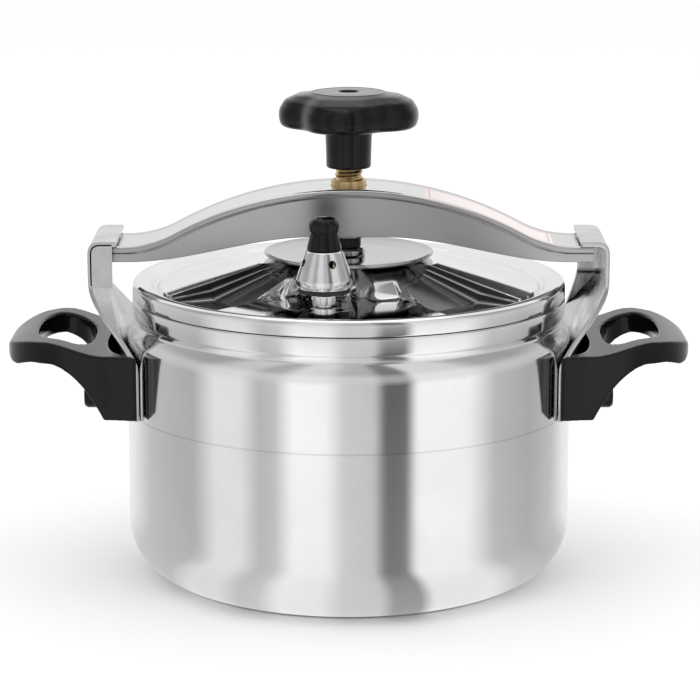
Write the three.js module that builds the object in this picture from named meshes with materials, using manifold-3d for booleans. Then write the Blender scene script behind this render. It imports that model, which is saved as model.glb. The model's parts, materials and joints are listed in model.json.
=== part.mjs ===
// Stovetop pressure cooker of the clamp-bow pattern, as an assembly of separate pieces.
// Millimetres, +Z up. The origin is the centre of the flat base that stands on the hob.
// X runs along the bow and through both handles. The working valve is on the -Y side.
// Bodies that move: the bow turns about Z, the knob and its spindle screw through the bow,
// the foot under the spindle rises and falls, the lid lifts, and the valve weight lifts.
import * as THREE from "three";
import { mergeVertices } from "three/addons/utils/BufferGeometryUtils.js";
import Module from "manifold-3d";

const wasm = await Module();
wasm.setup();

// Clearances
const GAP = 0.3; // between pieces that touch
const RUN = 0.3; // round a turning or sliding shaft
const HOLE = 0.3; // round a fixed shank, on the radius
const ROUND_STEPS = 40; // flat facets round the pot and the lid

// Pot
const POT_RADIUS = 110;
const POT_HEIGHT = 140;
const POT_WALL = 3;
const POT_BASE = 4;
const POT_CORNER = 27; // outside bend between base and wall
const RIM_BAND = 9; // height of the rolled rim
const RIM_ROLL = 8.5; // width of the rolled rim
const RIM_INSET = 3; // rolled rim, in from the wall
const GROOVE = 3; // height of the waist under the rim
const GROOVE_INSET = 5; // waist, in from the wall
const SHOULDER = 10.5; // height over which the wall bends in to the waist

// Lid
const LID_RIM_HEIGHT = 7.7;
const LID_SHEET = 2.5;
const LID_RIM_WALL = 2.2; // skirt outside the gasket
const GASKET_WIDTH = 5;
const GASKET_HEIGHT = 3.6;
const LIP_DEPTH = 2.6; // locating lip below the pot's mouth
const LIP_WIDTH = 2.5;
const LIP_CLEARANCE = 1.5; // locating lip inside the pot's mouth
const LIP_LAND = 1.5; // between the lip and the pressed relief
const HUB_LEDGE = 3.2; // flat hub past the pressure dish
const HUB_RISE = 10; // flat hub above the lid's rim
const CONE_DROP = 12.5; // the pressed sectors fall this much from hub to rim
const ARM_DEPTH = 3.2; // channels at the rim, below the sectors
const ARM_RUN = 21; // level part of a channel's floor, next to the rim
const ARM_FALL = 8.5; // how far a channel's floor lies below the sectors half way in
const PANEL_DROP = 2.4; // flat front panel below the lid's rim
const PANEL_WRAP = 26; // the panel wraps round the valve at this radius
const WALL_BLEND = 3; // degrees over which a channel's side rises
const FRONT_SPAN = [204, 330]; // degrees, both front channels and the panel between them
const PANEL_SPAN = [228, 300]; // degrees, the flat front panel
const REAR_SPAN = [78, 96]; // degrees, the channel behind the bow

// Pressure dish on the hub
const DISH_RADIUS = 41.8;
const DISH_HEIGHT = 3.2;
const DISH_SHEET = 1.2;
const BOSS_RADIUS = 8;
const BOSS_HEIGHT = 3.6;
const RIVET_SHANK = 4;

// Bow
const BOW_OVERHANG = 9.5; // each end, past the pot's wall
const BOW_HALF_WIDTH = 20;
const BOW_SHEET = 2.5;
const BOW_LIFT = 9.9; // side flange at the centre, above the pressure dish
const BOW_CROWN = 28; // fall from the centre to the level ends
const BOW_END_RUN = 9.5; // level length at each end
const BOW_FILLET = 52; // bend between arch and level end
const BOW_DEPTH = 23.6; // side flange at the centre
const BOW_END_DEPTH = 8; // side flange at the ends
const BEAD_HEIGHT = 3.6;
const BEAD_OUT = 1; // bead past the flange
const WEB_DROP = 0.6; // web below the beads

// Clamp screw
const SPINDLE_RADIUS = 6.9;
const SPINDLE_STEP = 1; // turned-down end in the foot
const BUSH_WALL = 1.5;
const BUSH_LEDGE = 4.3; // bush flange past its shank
const BUSH_ABOVE = 2.2; // bush above the bow's top
const BUSH_BELOW = 5;
const FOOT_RADIUS = 6;
const FOOT_HEIGHT = 4.8;
const CLIP_WALL = 2.3;
const CLIP_HEIGHT = 5.7;
const CLIP_FLOOR = 2.7;
const STUD_RADIUS = 2.5;

// Knob
const KNOB_RADIUS = 34.4;
const KNOB_NOTCH = 0.163; // depth of a notch, as a share of the radius
const KNOB_LOBES = 4;
const KNOB_TURN = 260.1; // degrees, direction of one lobe
const KNOB_HEIGHT = 17.5;
const NECK_HEIGHT = 20;
const NECK_WALL = 3.8; // round the spindle, at the foot
const NECK_FLARE = 0.6;
const KNOB_LIFT = 8; // knob's neck above the top of the bow
const RECESS_RADIUS = 4.45;
const RECESS_DEPTH = 12;
const KNOB_SCREW = 2.3;
const KNOB_SCREW_LENGTH = 12; // in the spindle
const KNOB_SCREW_HOLE = 14; // depth of its hole in the spindle
const SPINDLE_SHORT = 1.3; // spindle's top below the knob's disc

// Ears
const STOP_CLEARANCE = 2.5; // between the bow and a side stop
const EAR_FOOT_INSET = 2; // ear's foot, inside the handle's width
const EAR_SHEET = 2.5;
const EAR_REACH = 7.5; // ear's outer wall past the end of the bow
const EAR_RISE = 3.1; // ear's top above the end of the bow
const EAR_FOOT = 27; // straight part of the foot
const EAR_UPRIGHT = 18; // straight part under the rounded top corner
const EAR_FLANGE = 14; // top flange, from the outer wall inwards
const EAR_CORNER = 5;
const EAR_STOP = 12; // width of the side stop
const RIVET_ANGLE = 15; // degrees either side of the X axis
const RIVET_SHANK_RADIUS = 2.4;
const RIVET_HEAD = 5;
const RIVET_HEAD_HEIGHT = 1.8;
const RIVET_CONE = 0.4; // inner head, hollow under its edge
const CUT_REACH = 12; // a rivet or screw hole's cutter, past the wall both ways

// Handles
const HANDLE_DROP = 54; // block's base below the pot's rim
const HANDLE_BLOCK = 31.5; // block's height
const HANDLE_REACH = 58.7; // nose, past the pot's wall
const HANDLE_HALF_WIDTH = 46;
const WING_ANGLE = 29.8; // degrees round the pot, how far the block hugs it
const LOOP_RISE = 6.5; // loop's crown above the block
const LOOP_THICKNESS = 10.5;
const FINGER_START = 16; // finger opening, past the pot's wall
const FINGER_END = 43;
const FINGER_HALF_WIDTH = 31;
const POCKET_DEPTH = 12;
const POCKET_REACH = 10;
const POCKET_INSET = 8; // wall left at each side of the pocket
const SCREW_Y = 20;
const SCREW_RISE = 7; // fixing screws above the block's base
const SCREW_RADIUS = 3;
const SCREW_HEAD = 6.4;
const SCREW_HEAD_HEIGHT = 9.8;
const SCREW_SEAT = 8.3; // screw's seat, past the pot's wall
const WASHER_HEIGHT = 1.2;

// Working valve
const VALVE_TURN = 258.05; // degrees round the lid
const VALVE_CLEARANCE = 0.5; // between the bell and the pressure dish
const STEM_RADIUS = 3.65;
const STEM_COLLAR = 5.6;
const STEM_COLLAR_HEIGHT = 4.4;
const STEM_NOZZLE = 2.6;
const STEM_BORE = 1.1;
const STEM_ABOVE = 9; // nozzle's top above the bell's lower edge
const BELL_RADIUS = 13.7;
const BELL_TOP_RADIUS = 8.5;
const BELL_HEIGHT = 18;
const BELL_SHEET = 1.5;
const BELL_LIFT = 8.2; // bell's lower edge above the panel
const BELL_RING = 1.9; // height of the ring under the bell
const CAP_HEIGHT = 16.3;
const CAP_PIN = 2.2; // pin on the weight that carries the cap
const CAP_PIN_RISE = 6;
const VENT_RADIUS = 1.9;
const VENT_COUNT = 4;
const VENT_TURN = 22; // degrees, direction of the first vent from the front

// Safety valve, in the rear channel
const SAFETY_ANGLE = 87;
const SAFETY_BODY = 6.5;
const SAFETY_HEIGHT = 7;
const SAFETY_PLUG = 3.2;
const SAFETY_WALL = 1.2;
const SEAT_RISE = 0.8; // under the body and over the nut, past the channel's slope

// Derived places
const rimTop = POT_HEIGHT;
const rimRadius = POT_RADIUS - RIM_INSET;
const mouthRadius = rimRadius - RIM_ROLL;
const waistRadius = POT_RADIUS - GROOVE_INSET;
const waistTop = POT_HEIGHT - RIM_BAND;
const waistFoot = waistTop - GROOVE;
const wallTop = waistFoot - SHOULDER;
const innerFlat = (POT_RADIUS - POT_WALL) * Math.cos(Math.PI / ROUND_STEPS); // middle of a facet
const lidFoot = rimTop + GAP;
const lidRimTop = lidFoot + LID_RIM_HEIGHT;
const lipOuter = mouthRadius - LIP_CLEARANCE;
const lipInner = lipOuter - LIP_WIDTH;
const reliefRadius = lipInner - LIP_LAND;
const hubRadius = DISH_RADIUS + HUB_LEDGE;
const hubTop = lidRimTop + HUB_RISE;
const panelTop = lidRimTop - PANEL_DROP;
const dishFoot = hubTop + GAP;
const dishFloor = dishFoot + DISH_SHEET;
const bossFoot = dishFloor + GAP;
const bossTop = bossFoot + BOSS_HEIGHT;
const footBottom = bossTop + GAP;
const footTop = footBottom + FOOT_HEIGHT;
const clipBottom = footTop + GAP;
const clipTop = clipBottom + CLIP_HEIGHT;
const bowTop = dishFoot + DISH_HEIGHT + BOW_LIFT + BOW_DEPTH;
const bowHalfLength = POT_RADIUS + BOW_OVERHANG;
const bowEndTop = bowTop - BOW_CROWN;
const webTop = bowTop - WEB_DROP;
const webBottom = webTop - BOW_SHEET;
const knobFoot = bowTop + KNOB_LIFT;
const discFoot = knobFoot + NECK_HEIGHT;
const knobTop = discFoot + KNOB_HEIGHT;
const spindleTop = discFoot - SPINDLE_SHORT;
const spindleEnd = SPINDLE_RADIUS - SPINDLE_STEP;
const bushRadius = SPINDLE_RADIUS + RUN + BUSH_WALL;
const bushFlange = bushRadius + BUSH_LEDGE;
const clipRadius = spindleEnd + RUN + CLIP_WALL;
const neckFoot = SPINDLE_RADIUS + HOLE + NECK_WALL;
const neckTop = neckFoot + NECK_FLARE;
const handleBase = rimTop - HANDLE_DROP;
const handleTop = handleBase + HANDLE_BLOCK;
const noseX = POT_RADIUS + HANDLE_REACH;
const earOuter = bowHalfLength + EAR_REACH;
const earHalfWidth = BOW_HALF_WIDTH + STOP_CLEARANCE + EAR_SHEET;
const earFootHalfWidth = HANDLE_HALF_WIDTH - EAR_FOOT_INSET;
const earTop = bowEndTop + EAR_RISE;
const earInner = POT_RADIUS + GAP;
const footFace = earInner + EAR_SHEET;
const earFoot = handleBase - 1;
const slopeFoot = earFoot + EAR_FOOT;
const slopeTop = earTop - EAR_CORNER - EAR_UPRIGHT;
const rivetZ = slopeFoot - 5;
const screwZ = handleBase + SCREW_RISE;
const seatX = POT_RADIUS + SCREW_SEAT;
const valveReach = DISH_RADIUS + VALVE_CLEARANCE + BELL_RADIUS;
const valveX = valveReach * Math.cos(THREE.MathUtils.degToRad(VALVE_TURN));
const valveY = valveReach * Math.sin(THREE.MathUtils.degToRad(VALVE_TURN));
const safetyReach = (DISH_RADIUS + reliefRadius) / 2;
const stemTop = panelTop + BELL_LIFT + STEM_ABOVE;

const radians = THREE.MathUtils.degToRad;
const smooth = THREE.MathUtils.smoothstep;
const group = new THREE.Group();

// A geometry as one closed surface with shared corners, no zero-size faces, facing out.
function closed(geometry) {
  const bare = geometry.clone();
  for (const name of Object.keys(bare.attributes)) {
    if (name !== "position") bare.deleteAttribute(name);
  }
  const merged = mergeVertices(bare, 1e-3);
  const p = merged.attributes.position;
  const kept = [];
  let volume = 0;
  const [a, b, c] = [new THREE.Vector3(), new THREE.Vector3(), new THREE.Vector3()];
  for (let i = 0; i < merged.index.count; i += 3) {
    const corners = [0, 1, 2].map((k) => merged.index.getX(i + k));
    if (new Set(corners).size < 3) continue;
    kept.push(...corners);
    a.fromBufferAttribute(p, corners[0]);
    b.fromBufferAttribute(p, corners[1]);
    c.fromBufferAttribute(p, corners[2]);
    volume += a.dot(b.cross(c));
  }
  if (volume < 0) kept.reverse();
  merged.setIndex(kept);
  return merged;
}

// The same surface as a manifold-3d solid, for cutting and joining.
function solid(geometry) {
  const g = closed(geometry);
  return new wasm.Manifold(
    new wasm.Mesh({
      numProp: 3,
      vertProperties: new Float32Array(g.attributes.position.array),
      triVerts: new Uint32Array(g.index.array),
    }),
  );
}

// A manifold-3d solid back as a geometry.
function geometryOf(shape) {
  const mesh = shape.getMesh();
  const g = new THREE.BufferGeometry();
  g.setAttribute("position", new THREE.BufferAttribute(mesh.vertProperties, 3));
  g.setIndex(new THREE.BufferAttribute(mesh.triVerts, 1));
  return g;
}

// Adds one named piece to the object.
function piece(name, geometry, look, parent = group) {
  const g = closed(geometry).toNonIndexed();
  g.computeVertexNormals();
  const mesh = new THREE.Mesh(g, new THREE.MeshStandardMaterial(look));
  mesh.name = name;
  parent.add(mesh);
  return mesh;
}

const STEEL = { color: 0xc4c2c0, roughness: 0.25, metalness: 1 };
const POLISHED = { color: 0xe2e1e2, roughness: 0.12, metalness: 1 };
const CHROME = { color: 0xe6e6e8, roughness: 0.06, metalness: 1 };
const BRASS = { color: 0xc9a66a, roughness: 0.4, metalness: 1 };
const BAKELITE = { color: 0x1b1b1d, roughness: 0.3, metalness: 0 };
const RUBBER = { color: 0x24221f, roughness: 0.8, metalness: 0 };

// A turned shape: [radius, height] pairs, spun about Z.
function turned(profile, segments = 24) {
  const points = profile.map(([r, z]) => new THREE.Vector2(r, z));
  return new THREE.LatheGeometry(points, segments).rotateX(Math.PI / 2);
}

// A turned shape with a hole down its middle: the profile closes on itself.
function ringTurned(profile, segments = 24) {
  return turned([...profile, profile[0]], segments);
}

// A flat ring between two radii and two heights.
function ring(inner, outer, low, high, segments = 24) {
  const corners = [[inner, low], [outer, low], [outer, high], [inner, high]];
  return ringTurned(corners, segments);
}

// A plain round bar along Z, used to cut holes.
function bar(radius, low, high, segments = 20) {
  return turned([[0, low], [radius, low], [radius, high], [0, high]], segments);
}

// Points on a quarter or other arc, as [x, y] pairs, from one angle to another in degrees.
function arc(cx, cy, radius, from, to, steps) {
  return Array.from({ length: steps + 1 }, (_, i) => {
    const t = radians(from + ((to - from) * i) / steps);
    return [cx + radius * Math.cos(t), cy + radius * Math.sin(t)];
  });
}

// A flat outline with thickness along its own third axis.
function slab(outline, depth, steps = 1) {
  const shape = new THREE.Shape(outline.map(([x, y]) => new THREE.Vector2(x, y)));
  return new THREE.ExtrudeGeometry(shape, { depth, steps, bevelEnabled: false });
}

// An outline drawn in X and Z, spread evenly about Y = 0.
function sideSlab(outline, halfWidth, steps = 1) {
  return slab(outline, 2 * halfWidth, steps).rotateX(Math.PI / 2).translate(0, halfWidth, 0);
}

// Moves every corner of a geometry through a function of its place.
function warp(geometry, move) {
  const p = geometry.attributes.position;
  for (let i = 0; i < p.count; i++) {
    p.setXYZ(i, ...move(p.getX(i), p.getY(i), p.getZ(i)));
  }
  return geometry;
}

// Pot: spun aluminium with a rounded foot, a waist under the rim and a rolled rim.
function pot() {
  const innerCorner = POT_CORNER - POT_WALL;
  const outerWall = arc(POT_RADIUS - POT_CORNER, POT_CORNER, POT_CORNER, -90, 0, 5);
  const innerBend = arc(
    POT_RADIUS - POT_CORNER, POT_BASE + innerCorner, innerCorner, 0, -90, 4,
  );
  const roll = 2;
  const profile = [
    [0, 0],
    ...outerWall,
    [POT_RADIUS, wallTop],
    [POT_RADIUS - 0.35 * GROOVE_INSET, wallTop + 0.65 * SHOULDER],
    [waistRadius, waistFoot],
    [waistRadius, waistTop],
    [rimRadius - roll / 2, waistTop],
    [rimRadius, waistTop + roll],
    [rimRadius, rimTop - roll],
    [rimRadius - roll, rimTop],
    [mouthRadius + roll / 2, rimTop],
    [mouthRadius, rimTop - roll / 2],
    [mouthRadius, waistTop],
    [waistRadius - POT_WALL, waistFoot],
    [POT_RADIUS - POT_WALL, wallTop],
    ...innerBend,
    [0, POT_BASE],
  ];
  let body = solid(turned(profile, ROUND_STEPS));
  for (const turn of [0, 180]) {
    for (const s of [-1, 1]) {
      const hole = bar(RIVET_SHANK_RADIUS + HOLE, POT_RADIUS - CUT_REACH, POT_RADIUS + CUT_REACH, 12);
      body = body.subtract(solid(pointedOut(hole, turn + s * RIVET_ANGLE)));
    }
  }
  piece("pot_body", geometryOf(body), POLISHED);
}

// Turns a shape made along Z so that it points out from the pot's axis at the rivets' height.
function pointedOut(geometry, degrees) {
  return geometry.rotateY(Math.PI / 2).rotateZ(radians(degrees)).translate(0, 0, rivetZ);
}

// How much of a channel or panel is present at an angle: 1 inside the span, 0 outside it.
function span(degrees, from, to) {
  const past = THREE.MathUtils.euclideanModulo(degrees - from, 360);
  const width = to - from;
  const after = 1 - smooth(past, width, width + WALL_BLEND);
  const before = 1 - smooth(360 - past, 0, WALL_BLEND);
  return Math.max(after, before);
}

// Height of the lid's upper surface at a place inside the rim.
function reliefHeight(x, y) {
  const r = Math.hypot(x, y);
  const degrees = THREE.MathUtils.radToDeg(Math.atan2(y, x)) + (y < 0 ? 360 : 0);
  const out = THREE.MathUtils.clamp((r - hubRadius) / (reliefRadius - hubRadius), 0, 1);
  const sector = hubTop - CONE_DROP * out;
  const armEnd = hubTop - CONE_DROP - ARM_DEPTH;
  const armBend = reliefRadius - ARM_RUN;
  const middle = hubTop - CONE_DROP * ((armBend - hubRadius) / (reliefRadius - hubRadius));
  const floorAtBend = middle - ARM_FALL;
  const armStart = hubRadius - 15;
  const arm = r > armBend
    ? THREE.MathUtils.mapLinear(r, armBend, reliefRadius, floorAtBend, armEnd)
    : THREE.MathUtils.mapLinear(Math.max(r, armStart), armStart, armBend, hubTop, floorAtBend);
  const low = Math.max(span(degrees, ...FRONT_SPAN), span(degrees, ...REAR_SPAN));
  const fromValve = Math.hypot(x - valveX, y - valveY);
  const wedge = span(degrees, ...PANEL_SPAN) * smooth(r, hubRadius - 4, hubRadius + 6);
  const panel = Math.max(wedge, 1 - smooth(fromValve, PANEL_WRAP - 3, PANEL_WRAP + 4));
  const base = THREE.MathUtils.lerp(sector, arm, low);
  return THREE.MathUtils.lerp(base, panelTop, panel);
}

// Lid: pressed aluminium, a thick rim over the gasket and channels running in to the hub.
function lid() {
  const slopeSteps = 6;
  const slopeAt = (i) => THREE.MathUtils.lerp(hubRadius, reliefRadius, i / slopeSteps);
  const slope = Array.from({ length: slopeSteps + 1 }, (_, i) => slopeAt(i));
  const reliefSteps = [0, 0.3 * hubRadius, 0.58 * hubRadius, 0.8 * hubRadius, ...slope];
  const grooveOuter = rimRadius - LID_RIM_WALL;
  const grooveInner = grooveOuter - GASKET_WIDTH - 2 * GAP;
  const grooveTop = lidFoot + GASKET_HEIGHT + GAP;
  const lipFoot = lidFoot - LIP_DEPTH;
  const profile = [
    ...reliefSteps.map((r) => [r, 0]),
    [lipInner, lidRimTop - 4.2],
    [mouthRadius - 0.5, lidRimTop - 1.3],
    [rimRadius - 5.5, lidRimTop],
    [rimRadius - 2.5, lidRimTop],
    [rimRadius - 0.7, lidRimTop - 0.8],
    [rimRadius, lidRimTop - 2.5],
    [rimRadius, lidFoot],
    [grooveOuter, lidFoot],
    [grooveOuter, grooveTop],
    [grooveInner, grooveTop],
    [grooveInner, lidFoot],
    [lipOuter, lidFoot],
    [lipOuter, lipFoot],
    [lipInner, lipFoot],
    [lipInner, lidFoot],
    ...reliefSteps.map((r) => [r, -LID_SHEET]).reverse(),
  ];
  const shell = warp(turned(profile, ROUND_STEPS), (x, y, z) => {
    const inside = z < 1;
    return [x, y, inside ? reliefHeight(x, y) + z : z];
  });
  let body = solid(shell);
  const cut = (radius, x, y) => {
    body = body.subtract(solid(bar(radius, rimTop - 20, bowTop).translate(x, y, 0)));
  };
  cut(RIVET_SHANK + HOLE, 0, 0);
  cut(STEM_RADIUS + HOLE, valveX, valveY);
  cut(SAFETY_PLUG + SAFETY_WALL + HOLE, ...safetyPlace());
  piece("lid", geometryOf(body), POLISHED);

  const seal = ring(
    grooveInner + GAP, grooveOuter - GAP, rimTop + GAP, rimTop + GASKET_HEIGHT, ROUND_STEPS,
  );
  piece("gasket", seal, RUBBER);
}

// Where the safety valve stands on the lid.
function safetyPlace() {
  const t = radians(SAFETY_ANGLE);
  return [safetyReach * Math.cos(t), safetyReach * Math.sin(t)];
}

// Pressure dish: the saucer that spreads the screw's load, held by a domed rivet.
function dish() {
  const lip = 1.5;
  const flat = 0.8 * DISH_RADIUS;
  const profile = [
    [RIVET_SHANK + HOLE, dishFoot],
    [flat, dishFoot],
    [DISH_RADIUS - 2.2, dishFoot + 0.9],
    [DISH_RADIUS, dishFoot + DISH_HEIGHT - DISH_SHEET],
    [DISH_RADIUS, dishFoot + DISH_HEIGHT],
    [DISH_RADIUS - lip, dishFoot + DISH_HEIGHT],
    [DISH_RADIUS - 2 * lip - 1.5, dishFoot + DISH_HEIGHT - 1],
    [flat - 4, dishFloor],
    [RIVET_SHANK + HOLE, dishFloor],
  ];
  piece("pressure_dish", ringTurned(profile, 30), STEEL);

  const under = hubTop - LID_SHEET - GAP;
  const rivet = [
    [0, under - 2.5],
    [BOSS_RADIUS - 2, under - 2.5],
    [BOSS_RADIUS - 0.5, under],
    [RIVET_SHANK, under],
    [RIVET_SHANK, bossFoot],
    [BOSS_RADIUS, bossFoot],
    [BOSS_RADIUS, bossTop - 1.2],
    [BOSS_RADIUS - 1.2, bossTop],
    [0, bossTop],
  ];
  piece("dish_rivet", turned(rivet, 20), STEEL);
}

// Height of the bow's beads along its length: an arch, a reverse bend and a level end.
function bowTopAt(x) {
  const levelFrom = bowHalfLength - BOW_END_RUN;
  const lean = 2 * Math.atan(BOW_CROWN / levelFrom);
  const arch = levelFrom / Math.sin(lean) - BOW_FILLET;
  const d = Math.abs(x);
  if (d >= levelFrom) return bowEndTop;
  if (d <= arch * Math.sin(lean)) return bowTop - arch + Math.sqrt(arch * arch - d * d);
  const back = levelFrom - d;
  return bowEndTop + BOW_FILLET - Math.sqrt(BOW_FILLET * BOW_FILLET - back * back);
}

// Height of the lower edge of the bow's side flanges along its length.
function bowFootAt(x) {
  const share = smooth(Math.abs(x), 0.15 * bowHalfLength, 0.9 * bowHalfLength);
  return THREE.MathUtils.lerp(bowTop - BOW_DEPTH, bowEndTop - BOW_END_DEPTH, share);
}

// Bow: a pressed channel with a rounded bead along each upper edge.
function bow() {
  const flange = BOW_HALF_WIDTH - BEAD_OUT;
  const inner = flange - BOW_SHEET;
  const under = -WEB_DROP - BOW_SHEET;
  const foot = -100; // stands for the flange's lower edge until the section is warped
  const half = [
    [inner, under],
    [inner, foot],
    [flange, foot],
    [flange, -BEAD_HEIGHT],
    [BOW_HALF_WIDTH, -BEAD_HEIGHT + 1],
    [BOW_HALF_WIDTH, -1],
    [BOW_HALF_WIDTH - 1, 0],
    [BOW_HALF_WIDTH - 2.6, 0],
    [BOW_HALF_WIDTH - 3.8, -WEB_DROP],
  ];
  const section = [...half, ...half.map(([y, z]) => [-y, z]).reverse()];
  const long = slab(section, 2 * bowHalfLength, 30);
  const laid = warp(long, (y, z, x) => [x - bowHalfLength, y, z]);
  const bent = warp(laid, (x, y, z) => [x, y, z === foot ? bowFootAt(x) : bowTopAt(x) + z]);
  const hole = bar(bushRadius + HOLE, webBottom - 10, bowTop + 5);
  piece("bow", geometryOf(solid(bent).subtract(solid(hole))), STEEL);

  const collar = bowTopAt(bushFlange + 3) - WEB_DROP - BOW_SHEET - GAP; // the web curves down
  const bush = [
    [SPINDLE_RADIUS + RUN, collar - BUSH_BELOW],
    [bushFlange, collar - BUSH_BELOW],
    [bushFlange, collar - 1.5],
    [bushRadius, collar - 1.5],
    [bushRadius, bowTop + BUSH_ABOVE],
    [SPINDLE_RADIUS + RUN, bowTop + BUSH_ABOVE],
  ];
  piece("bow_bush", ringTurned(bush, 24), BRASS);
  const washer = ring(bushRadius + HOLE, bushFlange, collar - 1.5 + GAP, collar);
  piece("bush_washer", washer, STEEL);
}

// Clamp screw: spindle, foot and the clip that holds the foot on the spindle.
function clampScrew() {
  const endFoot = clipBottom + CLIP_FLOOR + GAP;
  const endTop = clipTop + 0.5;
  const hole = KNOB_SCREW + HOLE;
  const holeFoot = spindleTop - KNOB_SCREW_HOLE;
  const spindle = [
    [0, endFoot],
    [spindleEnd - 0.6, endFoot],
    [spindleEnd, endFoot + 0.6],
    [spindleEnd, endTop],
    [SPINDLE_RADIUS, endTop + 1],
    [SPINDLE_RADIUS, spindleTop - 0.8],
    [SPINDLE_RADIUS - 0.8, spindleTop],
    [hole, spindleTop],
    [hole, holeFoot],
    [0, holeFoot],
  ];
  piece("spindle", turned(spindle, 20), BRASS);

  const pad = [
    [0, footBottom],
    [FOOT_RADIUS - 0.6, footBottom],
    [FOOT_RADIUS, footBottom + 0.6],
    [FOOT_RADIUS, footTop],
    [STUD_RADIUS, footTop],
    [STUD_RADIUS, clipBottom + CLIP_FLOOR - GAP],
    [0, clipBottom + CLIP_FLOOR - GAP],
  ];
  piece("foot_pad", turned(pad, 20), RUBBER);
  const clip = [
    [STUD_RADIUS + GAP, clipBottom],
    [clipRadius - 1, clipBottom],
    [clipRadius, clipBottom + 1],
    [clipRadius, clipTop],
    [spindleEnd + RUN, clipTop],
    [spindleEnd + RUN, clipBottom + CLIP_FLOOR],
    [STUD_RADIUS + GAP, clipBottom + CLIP_FLOOR],
  ];
  piece("foot_clip", ringTurned(clip, 20), STEEL);
}

// Knob: a lobed disc on a neck, moulded over the spindle and held by a screw in its top.
function knob() {
  const boreTop = spindleTop + GAP;
  const recessFoot = knobTop - RECESS_DEPTH;
  const profile = [
    [SPINDLE_RADIUS + HOLE, knobFoot],
    [neckFoot, knobFoot],
    [neckTop, discFoot],
    [KNOB_RADIUS - 3, discFoot],
    [KNOB_RADIUS - 0.9, discFoot + 1.4],
    [KNOB_RADIUS, discFoot + 5],
    [KNOB_RADIUS - 0.3, discFoot + 9],
    [KNOB_RADIUS - 3, discFoot + 13.4],
    [KNOB_RADIUS - 9, discFoot + 16.1],
    [RECESS_RADIUS, knobTop],
    [RECESS_RADIUS, recessFoot],
    [KNOB_SCREW + HOLE, recessFoot],
    [KNOB_SCREW + HOLE, boreTop],
    [SPINDLE_RADIUS + HOLE, boreTop],
  ];
  const disc = warp(ringTurned(profile, 40), (x, y, z) => {
    const r = Math.hypot(x, y);
    const turn = KNOB_LOBES * (Math.atan2(y, x) - radians(KNOB_TURN));
    const notch = Math.pow((1 - Math.cos(turn)) / 2, 2);
    const k = 1 - KNOB_NOTCH * notch * smooth(r, neckTop + 2, KNOB_RADIUS - 4);
    return [x * k, y * k, z];
  });
  piece("knob", disc, BAKELITE);

  const washerFoot = recessFoot + GAP;
  const washerTop = washerFoot + WASHER_HEIGHT;
  const washer = ring(KNOB_SCREW + HOLE, RECESS_RADIUS - HOLE, washerFoot, washerTop, 16);
  piece("knob_washer", washer, STEEL);
  const headFoot = washerTop + GAP;
  const screw = [
    [0, spindleTop - KNOB_SCREW_LENGTH],
    [KNOB_SCREW, spindleTop - KNOB_SCREW_LENGTH],
    [KNOB_SCREW, headFoot],
    [RECESS_RADIUS - HOLE, headFoot],
    [RECESS_RADIUS - HOLE, headFoot + 1.6],
    [RECESS_RADIUS - 1.6, headFoot + 2.8],
    [0, headFoot + 2.8],
  ];
  piece("knob_screw", turned(screw, 16), STEEL);
}

// Middle line of the ear's sheet in X and Z, from the foot to the free edge of the flange.
function earLine() {
  const half = EAR_SHEET / 2;
  const foot = earInner + half;
  const wall = earOuter - half;
  const top = earTop - half;
  const bend = EAR_CORNER - half;
  const slope = (share, out) => [
    THREE.MathUtils.lerp(foot, wall, out),
    THREE.MathUtils.lerp(slopeFoot, slopeTop, share),
  ];
  return [
    [foot, earFoot],
    [foot, slopeFoot],
    slope(0.15, 0.06),
    slope(0.3, 0.2),
    slope(0.9, 0.93),
    [wall, slopeTop + 1],
    ...arc(wall - bend, top - bend, bend, 0, 90, 4),
    [earOuter - EAR_FLANGE, top],
  ];
}

// Both faces of a sheet whose middle line is given, as one closed outline.
function sheetOutline(line, thickness) {
  const side = (sign) =>
    line.map(([x, z], i) => {
      const [ax, az] = line[Math.max(i - 1, 0)];
      const [bx, bz] = line[Math.min(i + 1, line.length - 1)];
      const length = Math.hypot(bx - ax, bz - az);
      const shift = (sign * thickness) / 2 / length;
      return [x + (bz - az) * shift, z - (bx - ax) * shift];
    });
  return [...side(1), ...side(-1).reverse()];
}

// The ear's strap: narrow and flat at the top, wide and curved to the pot's wall at the foot.
function earStrap(thickness, extra) {
  const flat = sideSlab(sheetOutline(earLine(), thickness), earHalfWidth + extra, 8);
  const widen = earFootHalfWidth / earHalfWidth - 1;
  return warp(flat, (x, y, z) => {
    const wide = y * (1 + widen * footShare(z));
    return [x - wallSag(wide, z), wide, z];
  });
}

// How much of the foot's extra width is left at a height: 1 at the foot, 0 at the top.
function footShare(z) {
  const t = THREE.MathUtils.clamp((z - slopeFoot) / (slopeTop - slopeFoot), 0, 1);
  return 1 - t * t;
}

// How far the pot's round wall falls back at a distance from the X axis, fading up the ear.
function wallSag(y, z) {
  const sag = POT_RADIUS - Math.sqrt(POT_RADIUS * POT_RADIUS - y * y);
  const t = THREE.MathUtils.clamp((z - slopeFoot) / (slopeTop - slopeFoot), 0, 1);
  return sag * (1 - t);
}

// The side stop: a flange along one edge of the strap that the bow swings against.
function earStop() {
  const line = earLine();
  const inner = earOuter - EAR_STOP;
  const [, flangeZ] = line[line.length - 1];
  const outline = [
    ...line.slice(3, -1),
    [inner, flangeZ],
    [inner, THREE.MathUtils.lerp(slopeFoot, slopeTop, 0.42)],
  ];
  const flat = slab(outline, EAR_SHEET, 1).rotateX(Math.PI / 2).translate(0, earHalfWidth, 0);
  const spread = earFootHalfWidth - earHalfWidth;
  return warp(flat, (x, y, z) => {
    const wide = y + spread * footShare(z);
    return [x - wallSag(wide, z), wide, z];
  });
}

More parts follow.
